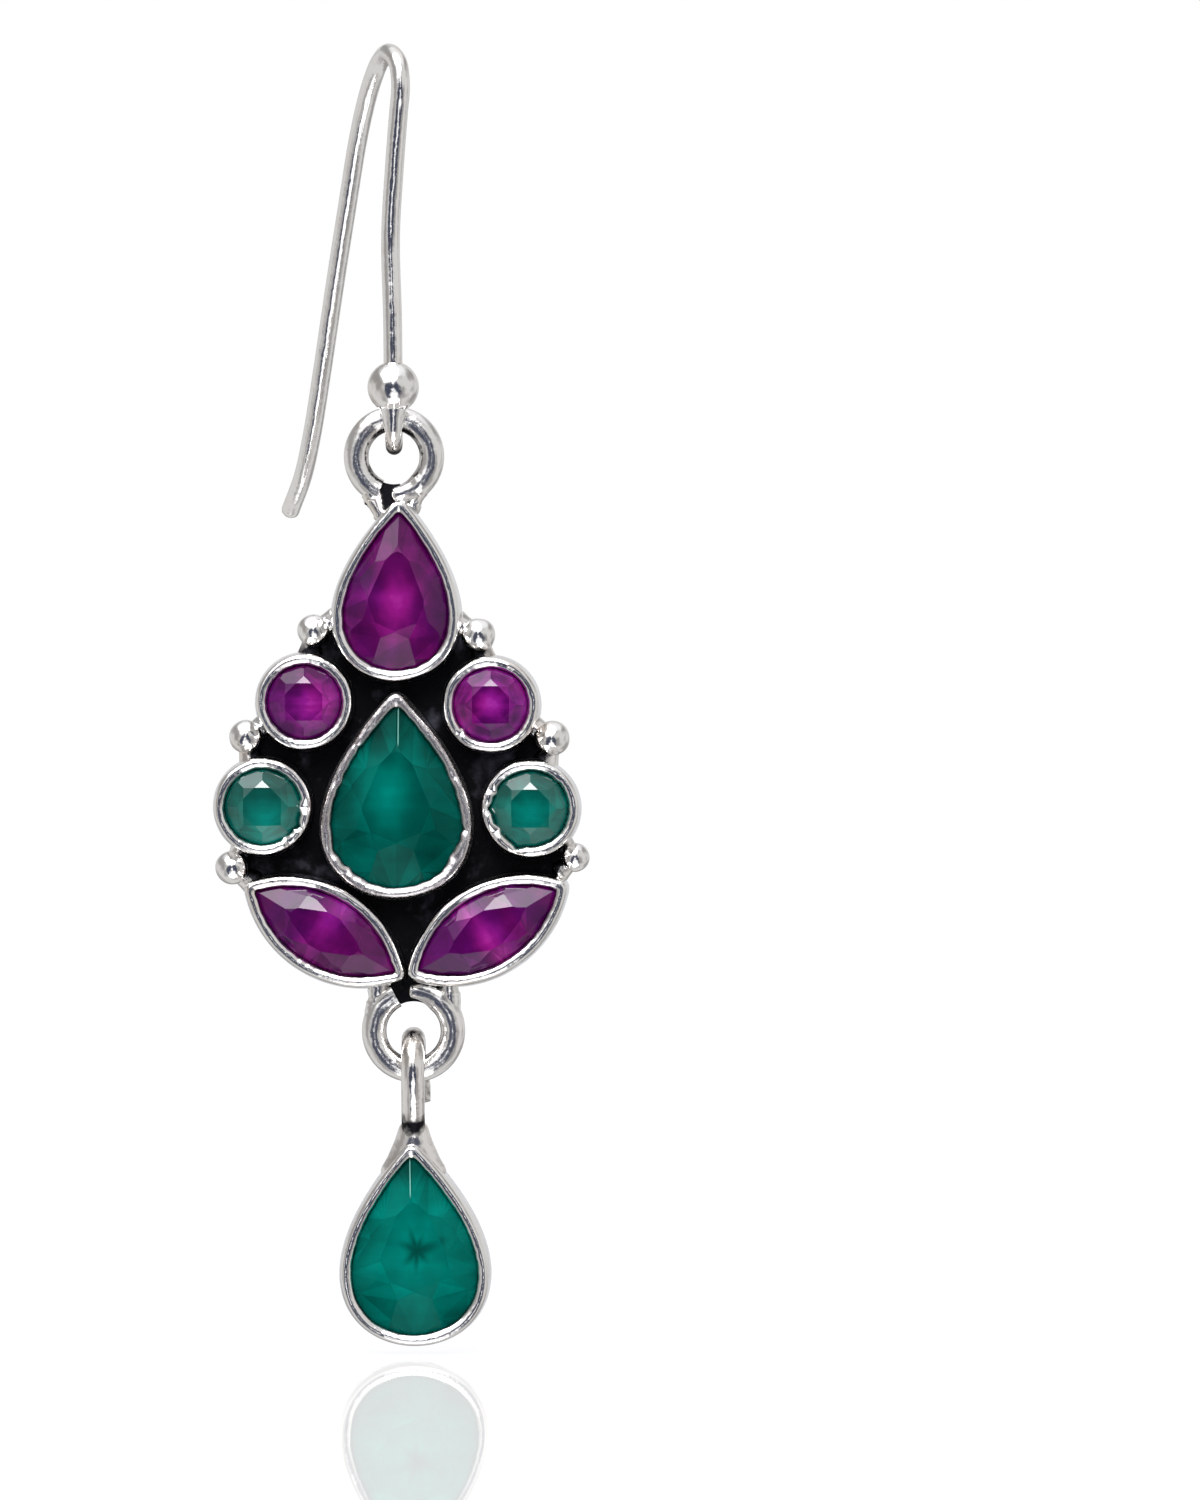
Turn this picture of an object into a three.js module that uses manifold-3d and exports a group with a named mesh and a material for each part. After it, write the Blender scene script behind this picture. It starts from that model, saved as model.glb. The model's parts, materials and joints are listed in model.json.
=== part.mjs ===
// The left earring of a pair of silver drop earrings with nine cut stones.
// Millimetres, +X to the right, -Y towards the viewer, +Z up.
// The origin is the inside top of the hook's bend, where the wire rests in the ear.

import * as THREE from 'three';
import { ConvexGeometry } from 'three/addons/geometries/ConvexGeometry.js';
import { mergeVertices } from 'three/addons/utils/BufferGeometryUtils.js';
import Module from 'manifold-3d';

// Ear hook
const HOOK_WIRE = 0.8;
const HOOK_HEIGHT = 13.8;
const HOOK_REACH = 12.1;
const TAIL_DROP = 19.0;
const HOOK_TURN = 22;
const BALL_DIAMETER = 2.2;
const NECK_LENGTH = 0.77;
const NECK_WIDTH = 0.98;
const LOOP_WIRE = 0.7;

// Rings, and the room that one link keeps round the other
const RING_WIRE = 1.05;
const UPPER_RING_HOLE = 2.17;
const LOWER_RING_HOLE = 2.3;
const RING_OPENING = 22;
const LINK_CLEARANCE = 0.32;
const BALL_GAP = 0.12;

// Stones, width by length at the girdle
const TOP_PEAR_WIDTH = 4.72;
const TOP_PEAR_LENGTH = 7.05;
const CENTRE_PEAR_WIDTH = 5.76;
const CENTRE_PEAR_LENGTH = 8.05;
const UPPER_ROUND = 3.4;
const LOWER_ROUND = 3.46;
const MARQUISE_WIDTH = 3.2;
const MARQUISE_LENGTH = 7.05;
const DROP_PEAR_WIDTH = 5.6;
const DROP_PEAR_LENGTH = 7.9;
const GIRDLE = 0.16;
const CROWN = 0.7;
const PAVILION = 0.9;
const TABLE_SHARE = 0.56;

// Bezels and the back plate, heights measured from the plane of the rings towards the viewer
const BEZEL_WALL = 0.27;
const BEZEL_LIP = 0.14;
const LIP_THICKNESS = 0.14;
const BEZEL_DRAFT = 0.24;
const STONE_CLEARANCE = 0.06;
const SEAT_LEDGE = 0.3;
const PLATE_THICKNESS = 0.9;
const PLATE_SET_BACK = 0.05;
const FLOOR_CLEARANCE = 0.1;

// Spacing of the settings in the cluster
const TOP_PEAR_GAP = 0.47;
const UPPER_ROUND_GAP = 0.72;
const UPPER_ROUND_TO_PEAR = 0.3;
const LOWER_ROUND_GAP = 0.48;
const LEFT_MARQUISE_GAP = 0.3;
const RIGHT_MARQUISE_GAP = 0.7;
const MARQUISE_TIP_GAP = 0.23;
const MARQUISE_TURN = 30.4;
const MEETING_SHIFT = 0.41;
const TOP_PEAR_TURN = -1.9;
const UPPER_RING_SHIFT = -0.17;
const LOWER_RING_SHIFT = 0.28;
const GRAIN_DIAMETER = 1.44;
const GRAIN_RISE = 0.25;
const SOLDER_BITE = 0.08;
const SOLDER_DIAMETER = 1.0;
const UPPER_SOLDER_SPREAD = 24;
const LOWER_SOLDER_SPREAD = 42;
const UPPER_RING_BITE = 0.22;

// Hanging drop
const BAIL_WIRE = 1.0;
const BAIL_LENGTH = 3.65;
const BAIL_SPREAD = 1.1;
const SHOULDER_HEIGHT = 0.95;
const SHOULDER_WIDTH = 2.2;
const DROP_TURN = 1.4;
const DROP_SHIFT = 0.04;

// Fineness of the facets
const OUTLINE_SIDES = 24;
const WIRE_SIDES = 10;
const HOOK_STEPS = 52;
const RING_STEPS = 24;
const LOOP_STEPS = 20;
const STRAND_STEPS = 4;
const BALL_STEPS = 10;
const BALL_SIDES = 20;
const GRAIN_RINGS = 7;
const GRAIN_SIDES = 12;

const radians = THREE.MathUtils.degToRad;
const UP = 90;
const DOWN = 270;
const wasm = await Module();
wasm.setup();

const silver = () => new THREE.MeshStandardMaterial({ color: 0xd9d8d6, roughness: 0.18, metalness: 1 });
const purple = () => new THREE.MeshStandardMaterial({ color: 0x6d1475, roughness: 0.08, metalness: 0 });
const green = () => new THREE.MeshStandardMaterial({ color: 0x00695a, roughness: 0.08, metalness: 0 });

// Outlines lie in the plane of the rings, x to the right and y up the earring, and run clockwise.
// A phase of 0.5 turns the corners by half a step.

// The pear's widest place is two thirds of the way down from its tip.
const PEAR_PEAK = 4 / (3 * Math.sqrt(3));

function pearOutline(width, length, sides, phase = 0) {
  return Array.from({ length: sides }, (_, i) => {
    const angle = (2 * Math.PI * (i + phase)) / sides;
    const across = (Math.sin(angle) * Math.sin(angle / 2)) / PEAR_PEAK;
    return new THREE.Vector2((across * width) / 2, (Math.cos(angle) * length) / 2);
  });
}

function roundOutline(diameter, sides, phase = 0) {
  return Array.from({ length: sides }, (_, i) => {
    const angle = (2 * Math.PI * (i + phase)) / sides;
    return new THREE.Vector2((Math.sin(angle) * diameter) / 2, (Math.cos(angle) * diameter) / 2);
  });
}

// Two equal arcs that meet in two points, the long way along x.
function marquiseOutline(width, length, sides, phase = 0) {
  const radius = (length * length + width * width) / (4 * width);
  const sweep = Math.asin(length / 2 / radius);
  return Array.from({ length: sides }, (_, i) => {
    const half = i < sides / 2 ? 1 : -1;
    const share = ((i % (sides / 2)) + phase) / (sides / 2);
    const angle = sweep * (2 * share - 1) * half;
    const rise = radius * Math.cos(angle) - (radius - width / 2);
    return new THREE.Vector2(radius * Math.sin(angle), rise * half);
  });
}

const facetOutline = {
  pear: (stone, sides, phase) => pearOutline(stone.width, stone.length, sides, phase),
  round: (stone, sides, phase) => roundOutline(stone.width, sides, phase),
  marquise: (stone, sides, phase) => marquiseOutline(stone.width, stone.length, sides, phase),
};

// The outline of a stone, grown by a wall, turned and moved to its place in the cluster.
function placedOutline(stone, grow) {
  const centre = new THREE.Vector2();
  const grown = { ...stone, width: stone.width + 2 * grow, length: stone.length + 2 * grow };
  return facetOutline[stone.cut](grown, OUTLINE_SIDES).map((point) =>
    point.rotateAround(centre, radians(stone.turn)).add(new THREE.Vector2(stone.x, stone.z)));
}

// Settling: a piece comes in from outside and stops when a named gap is left to its neighbours.

function distanceToEdge(point, start, end) {
  const edge = end.clone().sub(start);
  const share = THREE.MathUtils.clamp(point.clone().sub(start).dot(edge) / edge.lengthSq(), 0, 1);
  return point.distanceTo(start.clone().addScaledVector(edge, share));
}

function isInside(point, ring) {
  return ring.reduce((inside, start, i) => {
    const end = ring[(i + 1) % ring.length];
    const crosses = start.y > point.y !== end.y > point.y;
    const at = start.x + ((end.x - start.x) * (point.y - start.y)) / (end.y - start.y);
    return crosses && point.x < at ? !inside : inside;
  }, false);
}

// The least distance from the corners of one outline to the edges of another, zero inside it.
function cornersTo(corners, ring) {
  return Math.min(...corners.map((corner) => isInside(corner, ring) ? 0
    : Math.min(...ring.map((start, i) => distanceToEdge(corner, start, ring[(i + 1) % ring.length])))));
}

const clearance = (a, b) => Math.min(cornersTo(a, b), cornersTo(b, a));

const BEZEL_GROW = STONE_CLEARANCE + BEZEL_WALL;
const SETTLE_FROM = 3 * (TOP_PEAR_LENGTH + CENTRE_PEAR_LENGTH);
const SETTLE_STEP = 0.25;
const SETTLE_ERROR = 0.0005;

// Each seat is a neighbour and the gap that is left to it.
function settle(piece, heading, seats) {
  const start = new THREE.Vector2(piece.x, piece.z);
  const away = new THREE.Vector2(Math.cos(radians(heading)), Math.sin(radians(heading)));
  const rings = seats.map(([neighbour, gap]) => ({ ring: placedOutline(neighbour, neighbour.grow), gap }));
  const isClear = (distance) => {
    const spot = start.clone().addScaledVector(away, distance);
    const outline = placedOutline({ ...piece, x: spot.x, z: spot.y }, piece.grow);
    return rings.every(({ ring, gap }) => clearance(outline, ring) > gap);
  };
  let clear = SETTLE_FROM;
  while (clear > 0 && isClear(clear - SETTLE_STEP)) clear -= SETTLE_STEP;
  let near = clear - SETTLE_STEP;
  while (clear - near > SETTLE_ERROR) {
    const middle = (clear + near) / 2;
    if (isClear(middle)) clear = middle;
    else near = middle;
  }
  const spot = start.addScaledVector(away, clear);
  return { ...piece, x: spot.x, z: spot.y };
}

// Each setting of the cluster, placed round the centre pear, whose middle is the cluster's zero.
const setting = (name, cut, width, length, colour, at = {}) =>
  ({ name, cut, width, length, colour, grow: BEZEL_GROW, turn: 0, x: 0, z: 0, ...at });

const centrePear = setting('centre_pear_stone', 'pear', CENTRE_PEAR_WIDTH, CENTRE_PEAR_LENGTH, green);
const topPear = settle(
  setting('top_pear_stone', 'pear', TOP_PEAR_WIDTH, TOP_PEAR_LENGTH, purple, { turn: TOP_PEAR_TURN }),
  UP, [[centrePear, TOP_PEAR_GAP]]);

// Headings from the middle of the centre pear, in degrees from +X. The two sides differ a little.
const upperHeading = { left: 134.6, right: 43.8 };
const upperRound = (side) => settle(
  setting(`${side}_upper_round_stone`, 'round', UPPER_ROUND, UPPER_ROUND, purple), upperHeading[side],
  [[centrePear, UPPER_ROUND_GAP], [topPear, UPPER_ROUND_TO_PEAR]]);
const leftUpperRound = upperRound('left');
const rightUpperRound = upperRound('right');

const lowerHeading = { left: 184.8, right: -5.6 };
const lowerRound = (side, above) => settle(
  setting(`${side}_lower_round_stone`, 'round', LOWER_ROUND, LOWER_ROUND, green), lowerHeading[side],
  [[centrePear, LOWER_ROUND_GAP], [above, LOWER_ROUND_GAP]]);
const leftLowerRound = lowerRound('left', leftUpperRound);
const rightLowerRound = lowerRound('right', rightUpperRound);

// The marquises lean towards each other, and their inner points meet a little right of the middle.
function marquise(name, side, above, gap) {
  const reach = (MARQUISE_LENGTH / 2 + BEZEL_GROW) * Math.cos(radians(MARQUISE_TURN));
  const x = MEETING_SHIFT + side * (MARQUISE_TIP_GAP / 2 + reach);
  return settle(
    setting(name, 'marquise', MARQUISE_WIDTH, MARQUISE_LENGTH, purple, { turn: side * MARQUISE_TURN, x }),
    DOWN, [[centrePear, gap], [above, gap]]);
}
const leftMarquise = marquise('left_marquise_stone', -1, leftLowerRound, LEFT_MARQUISE_GAP);
const rightMarquise = marquise('right_marquise_stone', 1, rightLowerRound, RIGHT_MARQUISE_GAP);

const stones = [topPear, leftUpperRound, rightUpperRound, centrePear, leftLowerRound, rightLowerRound,
  leftMarquise, rightMarquise];

// Grains of silver nest in the notches of the outline. Size is a share of the usual grain.
const grainTable = [
  { heading: 116.9, size: 0.97, between: [topPear, leftUpperRound] },
  { heading: 63.1, size: 1.0, between: [topPear, rightUpperRound] },
  { heading: 158.8, size: 1.0, between: [leftUpperRound, leftLowerRound] },
  { heading: 20.1, size: 1.06, between: [rightUpperRound, rightLowerRound] },
  { heading: 203.9, size: 1.0, between: [leftLowerRound, leftMarquise] },
  { heading: -19.2, size: 0.86, between: [rightLowerRound, rightMarquise] },
];
const disc = (diameter, at = {}) => ({ cut: 'round', width: diameter, grow: 0, turn: 0, x: 0, z: 0, ...at });
const grains = grainTable.map((row) => {
  const diameter = row.size * GRAIN_DIAMETER;
  const seats = row.between.map((neighbour) => [neighbour, BEZEL_DRAFT - SOLDER_BITE]);
  return { ...settle(disc(diameter), row.heading, seats), diameter };
});

const ringDisc = (hole, bite, x) => disc(hole + 2 * RING_WIRE - 2 * bite, { x });
const upperRing = settle(ringDisc(UPPER_RING_HOLE, UPPER_RING_BITE, topPear.x + UPPER_RING_SHIFT),
  UP, [[topPear, 0]]);
const lowerRing = settle(ringDisc(LOWER_RING_HOLE, 0, MEETING_SHIFT + LOWER_RING_SHIFT),
  DOWN, [[leftMarquise, 0], [rightMarquise, 0]]);

// Facets of a stone, as shares of its width and length and of its crown and pavilion
const FACETS = 8;
const MID_CROWN = { share: 0.8, rise: 0.5 };
const MID_PAVILION = { share: 0.5, drop: 0.62 };
const CULET_SHARE = 0.05;

// The narrowest stone is the steepest, so the lip and the seat follow its slopes.
const narrowest = Math.min(UPPER_ROUND, LOWER_ROUND, MARQUISE_WIDTH, TOP_PEAR_WIDTH, CENTRE_PEAR_WIDTH,
  DROP_PEAR_WIDTH);
const crownSlope = (CROWN * MID_CROWN.rise) / ((1 - MID_CROWN.share) * narrowest / 2);
const pavilionSlope = (PAVILION * MID_PAVILION.drop) / ((1 - MID_PAVILION.share) * narrowest / 2);

// Depths: heights rise from the plane of the rings towards the viewer, which is -Y.
const PLATE_BACK = -PLATE_THICKNESS / 2 - PLATE_SET_BACK;
const PLATE_FRONT = PLATE_BACK + PLATE_THICKNESS;
const CULET = PLATE_FRONT + FLOOR_CLEARANCE;
const GIRDLE_BACK = CULET + PAVILION;
const GIRDLE_FRONT = GIRDLE_BACK + GIRDLE;
const TABLE = GIRDLE_FRONT + CROWN;
const LIP_UNDER = GIRDLE_FRONT + BEZEL_LIP * crownSlope + STONE_CLEARANCE;
const SEAT = GIRDLE_BACK - SEAT_LEDGE * pavilionSlope - STONE_CLEARANCE;
const RIM = LIP_UNDER + LIP_THICKNESS;

// A closed body through a stack of outlines with the same number of corners, back to front.
function stackBody(levels) {
  const sides = levels[0].outline.length;
  const points = levels.flatMap(({ outline, height }) => outline.map((p) => [p.x, -height, p.y]));
  const middle = (level) => {
    const sum = level.outline.reduce((total, p) => total.add(p), new THREE.Vector2());
    return [sum.x / sides, -level.height, sum.y / sides];
  };
  const back = points.push(middle(levels[0])) - 1;
  const front = points.push(middle(levels.at(-1))) - 1;
  const last = (levels.length - 1) * sides;
  const faces = [];
  for (let i = 0; i < sides; i++) {
    const next = (i + 1) % sides;
    faces.push(back, i, next, front, last + next, last + i);
    for (let row = 0; row < last; row += sides) {
      faces.push(row + i, row + sides + i, row + sides + next);
      faces.push(row + i, row + sides + next, row + next);
    }
  }
  const geometry = new THREE.BufferGeometry();
  geometry.setAttribute('position', new THREE.Float32BufferAttribute(points.flat(), 3));
  geometry.setIndex(faces);
  return geometry;
}

// Joining and cutting

const MERGE_DISTANCE = 1e-5;

function toSolid(geometry) {
  const bare = geometry.clone();
  for (const name of Object.keys(bare.attributes)) {
    if (name !== 'position') bare.deleteAttribute(name);
  }
  const merged = mergeVertices(bare, MERGE_DISTANCE);
  return new wasm.Manifold(new wasm.Mesh({
    numProp: 3,
    vertProperties: new Float32Array(merged.attributes.position.array),
    triVerts: new Uint32Array(merged.index.array),
  }));
}

function toGeometry(solid) {
  const { vertProperties, triVerts } = solid.getMesh();
  const geometry = new THREE.BufferGeometry();
  geometry.setAttribute('position', new THREE.BufferAttribute(vertProperties, 3));
  geometry.setIndex(new THREE.BufferAttribute(triVerts, 1));
  geometry.computeVertexNormals();
  return geometry;
}

const join = (geometries) => geometries.map(toSolid).reduce((sum, solid) => sum.add(solid));

// Wire of round section along a curve
function wire(points, diameter, steps) {
  const section = new THREE.Shape(Array.from({ length: WIRE_SIDES }, (_, i) => {
    const angle = (2 * Math.PI * i) / WIRE_SIDES;
    return new THREE.Vector2((Math.cos(angle) * diameter) / 2, (Math.sin(angle) * diameter) / 2);
  }));
  const extrudePath = new THREE.CatmullRomCurve3(points);
  return new THREE.ExtrudeGeometry(section, { steps, extrudePath, bevelEnabled: false });
}

// Points on an arc, from one angle to another, put where place says
function arc(from, to, count, place) {
  return Array.from({ length: count + 1 }, (_, i) => place(radians(from + ((to - from) * i) / count)));
}

// A ring of wire in the plane y = 0, its opening towards the given angle
function openRing(ring, hole, openTowards) {
  const radius = (hole + RING_WIRE) / 2;
  const points = arc(openTowards + RING_OPENING / 2, openTowards + 360 - RING_OPENING / 2, RING_STEPS,
    (angle) => new THREE.Vector3(ring.x + radius * Math.cos(angle), 0, ring.z + radius * Math.sin(angle)));
  return wire(points, RING_WIRE, RING_STEPS);
}

function grainBall(grain) {
  const ball = new THREE.SphereGeometry(grain.diameter / 2, GRAIN_SIDES, GRAIN_RINGS);
  return ball.translate(grain.x, -PLATE_FRONT - GRAIN_RISE, grain.z);
}

// Two drops of solder fill the notches where a ring meets the bezels.
function solderDrops(ring, hole, towards, spread) {
  return [-1, 1].map((side) => {
    const angle = radians(towards + side * spread);
    const reach = hole / 2 + RING_WIRE;
    const drop = new THREE.SphereGeometry(SOLDER_DIAMETER / 2, GRAIN_SIDES, GRAIN_RINGS);
    return drop.translate(ring.x + reach * Math.cos(angle), 0, ring.z + reach * Math.sin(angle));
  });
}

// Bezels: a tapered wall outside, and inside it a seat, the stone's room and the lip that holds it.

function bezelBody(stone) {
  const at = (grow, height) => ({ outline: placedOutline(stone, grow), height });
  return stackBody([
    at(BEZEL_GROW + BEZEL_DRAFT, PLATE_BACK),
    at(BEZEL_GROW + BEZEL_DRAFT, PLATE_FRONT),
    at(BEZEL_GROW, GIRDLE_FRONT),
    at(BEZEL_GROW - LIP_THICKNESS / 2, RIM),
  ]);
}

function bezelRoom(stone) {
  const at = (grow, height) => ({ outline: placedOutline(stone, grow), height });
  return stackBody([
    at(-SEAT_LEDGE, PLATE_FRONT),
    at(-SEAT_LEDGE, SEAT),
    at(STONE_CLEARANCE, GIRDLE_BACK - STONE_CLEARANCE),
    at(STONE_CLEARANCE, GIRDLE_FRONT + STONE_CLEARANCE),
    at(-BEZEL_LIP, LIP_UNDER),
    at(-BEZEL_LIP, RIM + LIP_THICKNESS),
  ]);
}

// Stones

function stoneGeometry(stone) {
  const ring = (share, height, facets, phase = 0) => {
    const scaled = { ...stone, width: stone.width * share, length: stone.length * share };
    return facetOutline[stone.cut](scaled, facets, phase).map((p) => new THREE.Vector3(p.x, -height, p.y));
  };
  return new ConvexGeometry([
    ...ring(CULET_SHARE, CULET, FACETS),
    ...ring(MID_PAVILION.share, GIRDLE_BACK - PAVILION * MID_PAVILION.drop, FACETS),
    ...ring(1, GIRDLE_BACK, OUTLINE_SIDES),
    ...ring(1, GIRDLE_FRONT, OUTLINE_SIDES),
    ...ring(MID_CROWN.share, GIRDLE_FRONT + CROWN * MID_CROWN.rise, FACETS, 0.5),
    ...ring(TABLE_SHARE, TABLE, FACETS),
  ]);
}

function named(name, geometry, material) {
  const mesh = new THREE.Mesh(geometry, material());
  mesh.name = name;
  return mesh;
}

function stoneMesh(stone) {
  const mesh = named(stone.name, stoneGeometry(stone), stone.colour);
  mesh.position.set(stone.x, 0, stone.z);
  mesh.rotation.y = -radians(stone.turn);
  return mesh;
}

// Cluster: one soldered solid of plate, bezels, grains and rings, and its eight stones

// The plate runs from middle to middle of what sits on its edge, so it follows them.
function plate() {
  const [upperLeft, upperRight, middleLeft, middleRight, lowerLeft, lowerRight] = grains;
  const edge = [topPear, upperRight, rightUpperRound, middleRight, rightLowerRound, lowerRight, rightMarquise,
    { x: MEETING_SHIFT, z: lowerRing.z + LOWER_RING_HOLE / 2 + RING_WIRE },
    leftMarquise, lowerLeft, leftLowerRound, middleLeft, leftUpperRound, upperLeft];
  const shape = new THREE.Shape(edge.map(({ x, z }) => new THREE.Vector2(x, z)));
  const sheet = new THREE.ExtrudeGeometry(shape, { depth: PLATE_THICKNESS, bevelEnabled: false });
  return sheet.rotateX(Math.PI / 2).translate(0, -PLATE_BACK, 0);
}

function clusterSetting() {
  const soldered = join([
    plate(),
    ...stones.map(bezelBody),
    ...grains.map(grainBall),
    openRing(upperRing, UPPER_RING_HOLE, DOWN),
    openRing(lowerRing, LOWER_RING_HOLE, UP),
    ...solderDrops(upperRing, UPPER_RING_HOLE, DOWN, UPPER_SOLDER_SPREAD),
    ...solderDrops(lowerRing, LOWER_RING_HOLE, UP, LOWER_SOLDER_SPREAD),
  ]);
  const hollow = stones.map((stone) => toSolid(bezelRoom(stone)));
  return toGeometry(hollow.reduce((rest, room) => rest.subtract(room), soldered));
}

const cluster = new THREE.Group();
cluster.add(named('cluster_setting', clusterSetting(), silver), ...stones.map(stoneMesh));

// Ear hook: leg, bend and tail lie in one upright plane that is turned from straight back.

// Back is a share of the reach behind the ball's axis, down a share of the height from bend to ball.
const legTable = [
  { back: 0, down: 1 },
  { back: 0.006, down: 0.79 },
  { back: 0.025, down: 0.54 },
  { back: -0.013, down: 0.317 },
  { back: -0.05, down: 0.16 },
  { back: -0.069, down: 0.08 },
  { back: -0.045, down: 0.01 },
];
const BEND_BACK = 0.037;
// Here down is a share of the drop from the bend to the tail's end.
const tailTable = [
  { back: 0.125, down: -0.006 },
  { back: 0.188, down: 0.027 },
  { back: 0.258, down: 0.08 },
  { back: 0.342, down: 0.17 },
  { back: 0.435, down: 0.304 },
  { back: 0.556, down: 0.482 },
  { back: 0.682, down: 0.679 },
  { back: 0.785, down: 0.828 },
  { back: 0.872, down: 0.92 },
  { back: 1, down: 1 },
];
const behind = new THREE.Vector3(-Math.sin(radians(HOOK_TURN)), Math.cos(radians(HOOK_TURN)), 0);
const hookPoint = (back, height) =>
  behind.clone().multiplyScalar((back - BEND_BACK) * HOOK_REACH).setZ(height);
const ball = hookPoint(0, -HOOK_HEIGHT);

const LOOP_START = 180;
const LOOP_END = 470;
const LOOP_RADIUS = (RING_WIRE + LOOP_WIRE) / 2 + LINK_CLEARANCE;
const ballToRing = (BALL_DIAMETER + RING_WIRE) / 2 + BALL_GAP;
const ringTop = new THREE.Vector3(
  ball.x, ball.y + LOOP_RADIUS, ball.z - Math.sqrt(Math.max(0, ballToRing ** 2 - LOOP_RADIUS ** 2)));

function hookWire() {
  return wire([
    ...legTable.map(({ back, down }) => hookPoint(back, -down * HOOK_HEIGHT)),
    hookPoint(BEND_BACK, HOOK_WIRE / 2),
    ...tailTable.map(({ back, down }) => hookPoint(back, -down * TAIL_DROP)),
  ], HOOK_WIRE, HOOK_STEPS);
}

// The ball narrows below into the front strand of the loop.
function ballAndNeck() {
  const radius = BALL_DIAMETER / 2;
  const foot = -radius - NECK_LENGTH;
  const fromNeck = 180 - THREE.MathUtils.radToDeg(Math.asin(Math.min(1, NECK_WIDTH / BALL_DIAMETER)));
  const round = arc(fromNeck, 0, BALL_STEPS, (angle) =>
    new THREE.Vector2(radius * Math.sin(angle), radius * Math.cos(angle)));
  const profile = [new THREE.Vector2(0, foot), new THREE.Vector2(LOOP_WIRE / 2, foot), ...round];
  return new THREE.LatheGeometry(profile, BALL_SIDES).rotateX(Math.PI / 2).translate(ball.x, ball.y, ball.z);
}

// The loop goes down in front of the ring's wire, under it and up behind, and closes on the ball.
function loopWire() {
  const turn = arc(LOOP_START, LOOP_END, LOOP_STEPS, (angle) => new THREE.Vector3(
    ringTop.x, ringTop.y + LOOP_RADIUS * Math.cos(angle), ringTop.z + LOOP_RADIUS * Math.sin(angle)));
  return wire([ball, ...turn], LOOP_WIRE, LOOP_STEPS + STRAND_STEPS);
}

const earHook = named('ear_hook', toGeometry(join([hookWire(), ballAndNeck(), loopWire()])), silver);

// Drop: its zero is the middle of the lower ring's wire, which the bail goes round.

const BAIL_RADIUS = (RING_WIRE + BAIL_WIRE) / 2 + LINK_CLEARANCE;
const strandDrop = BAIL_LENGTH - BAIL_RADIUS;
const dropTip = -strandDrop - SHOULDER_HEIGHT;
const dropPear = setting('drop_stone', 'pear', DROP_PEAR_WIDTH, DROP_PEAR_LENGTH, green,
  { turn: DROP_TURN, x: DROP_SHIFT, z: dropTip - DROP_PEAR_LENGTH / 2 - BEZEL_GROW });
const DROP_FORWARD = (RIM + PLATE_BACK) / 2;

// The bail goes over the ring's wire, and its two strands close in towards the shoulder.
const BAIL_START = 190;
const BAIL_END = -10;

function bailWire() {
  const foot = -strandDrop - SHOULDER_HEIGHT / 2;
  const strandEnd = (side) => new THREE.Vector3(0, (side * BAIL_SPREAD) / 2, foot);
  const over = arc(BAIL_START, BAIL_END, LOOP_STEPS, (angle) =>
    new THREE.Vector3(0, BAIL_RADIUS * Math.cos(angle), BAIL_RADIUS * Math.sin(angle)));
  return wire([strandEnd(-1), ...over, strandEnd(1)], BAIL_WIRE, LOOP_STEPS + 2 * STRAND_STEPS);
}

// Solder flares from the strands onto the tip. Rise is a share of the height, width of the width.
const shoulderTable = [
  { rise: -0.5, width: 0.72 },
  { rise: 0, width: 1 },
  { rise: 0.45, width: 0.72 },
  { rise: 1, width: 0.5 },
];

function shoulder() {
  const side = shoulderTable.map(({ rise, width }) =>
    new THREE.Vector2((width * SHOULDER_WIDTH) / 2, dropTip + rise * SHOULDER_HEIGHT));
  const profile = [new THREE.Vector2(0, side[0].y), ...side, new THREE.Vector2(0, side.at(-1).y)];
  return new THREE.LatheGeometry(profile, BALL_SIDES).rotateX(Math.PI / 2);
}

function dropSetting() {
  const bezel = bezelBody(dropPear).translate(0, DROP_FORWARD, 0);
  const room = bezelRoom(dropPear).translate(0, DROP_FORWARD, 0);
  return toGeometry(join([bezel, bailWire(), shoulder()]).subtract(toSolid(room)));
}

const drop = new THREE.Group();
const dropStone = stoneMesh(dropPear);
dropStone.position.y = DROP_FORWARD;
drop.add(named('drop_setting', dropSetting(), silver), dropStone);

// Assembly

const ringRadius = (hole) => (hole + RING_WIRE) / 2;
cluster.position.set(ringTop.x - upperRing.x, ringTop.y,
  ringTop.z - upperRing.z - ringRadius(UPPER_RING_HOLE));
drop.position.set(cluster.position.x + lowerRing.x, ringTop.y,
  cluster.position.z + lowerRing.z - ringRadius(LOWER_RING_HOLE));

const earring = new THREE.Group();
earring.add(earHook, cluster, drop);

export default earring;
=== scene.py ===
# %% [markdown]
# A silver drop earring with nine cut stones.
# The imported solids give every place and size, and this lesson gives them their fine surface.
# The frame is loaded first, because every later cell asks it where things are.

# %% Load the frame
import json
import math

import bmesh
import bpy
import numpy as np
from mathutils import Matrix, Vector


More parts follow.
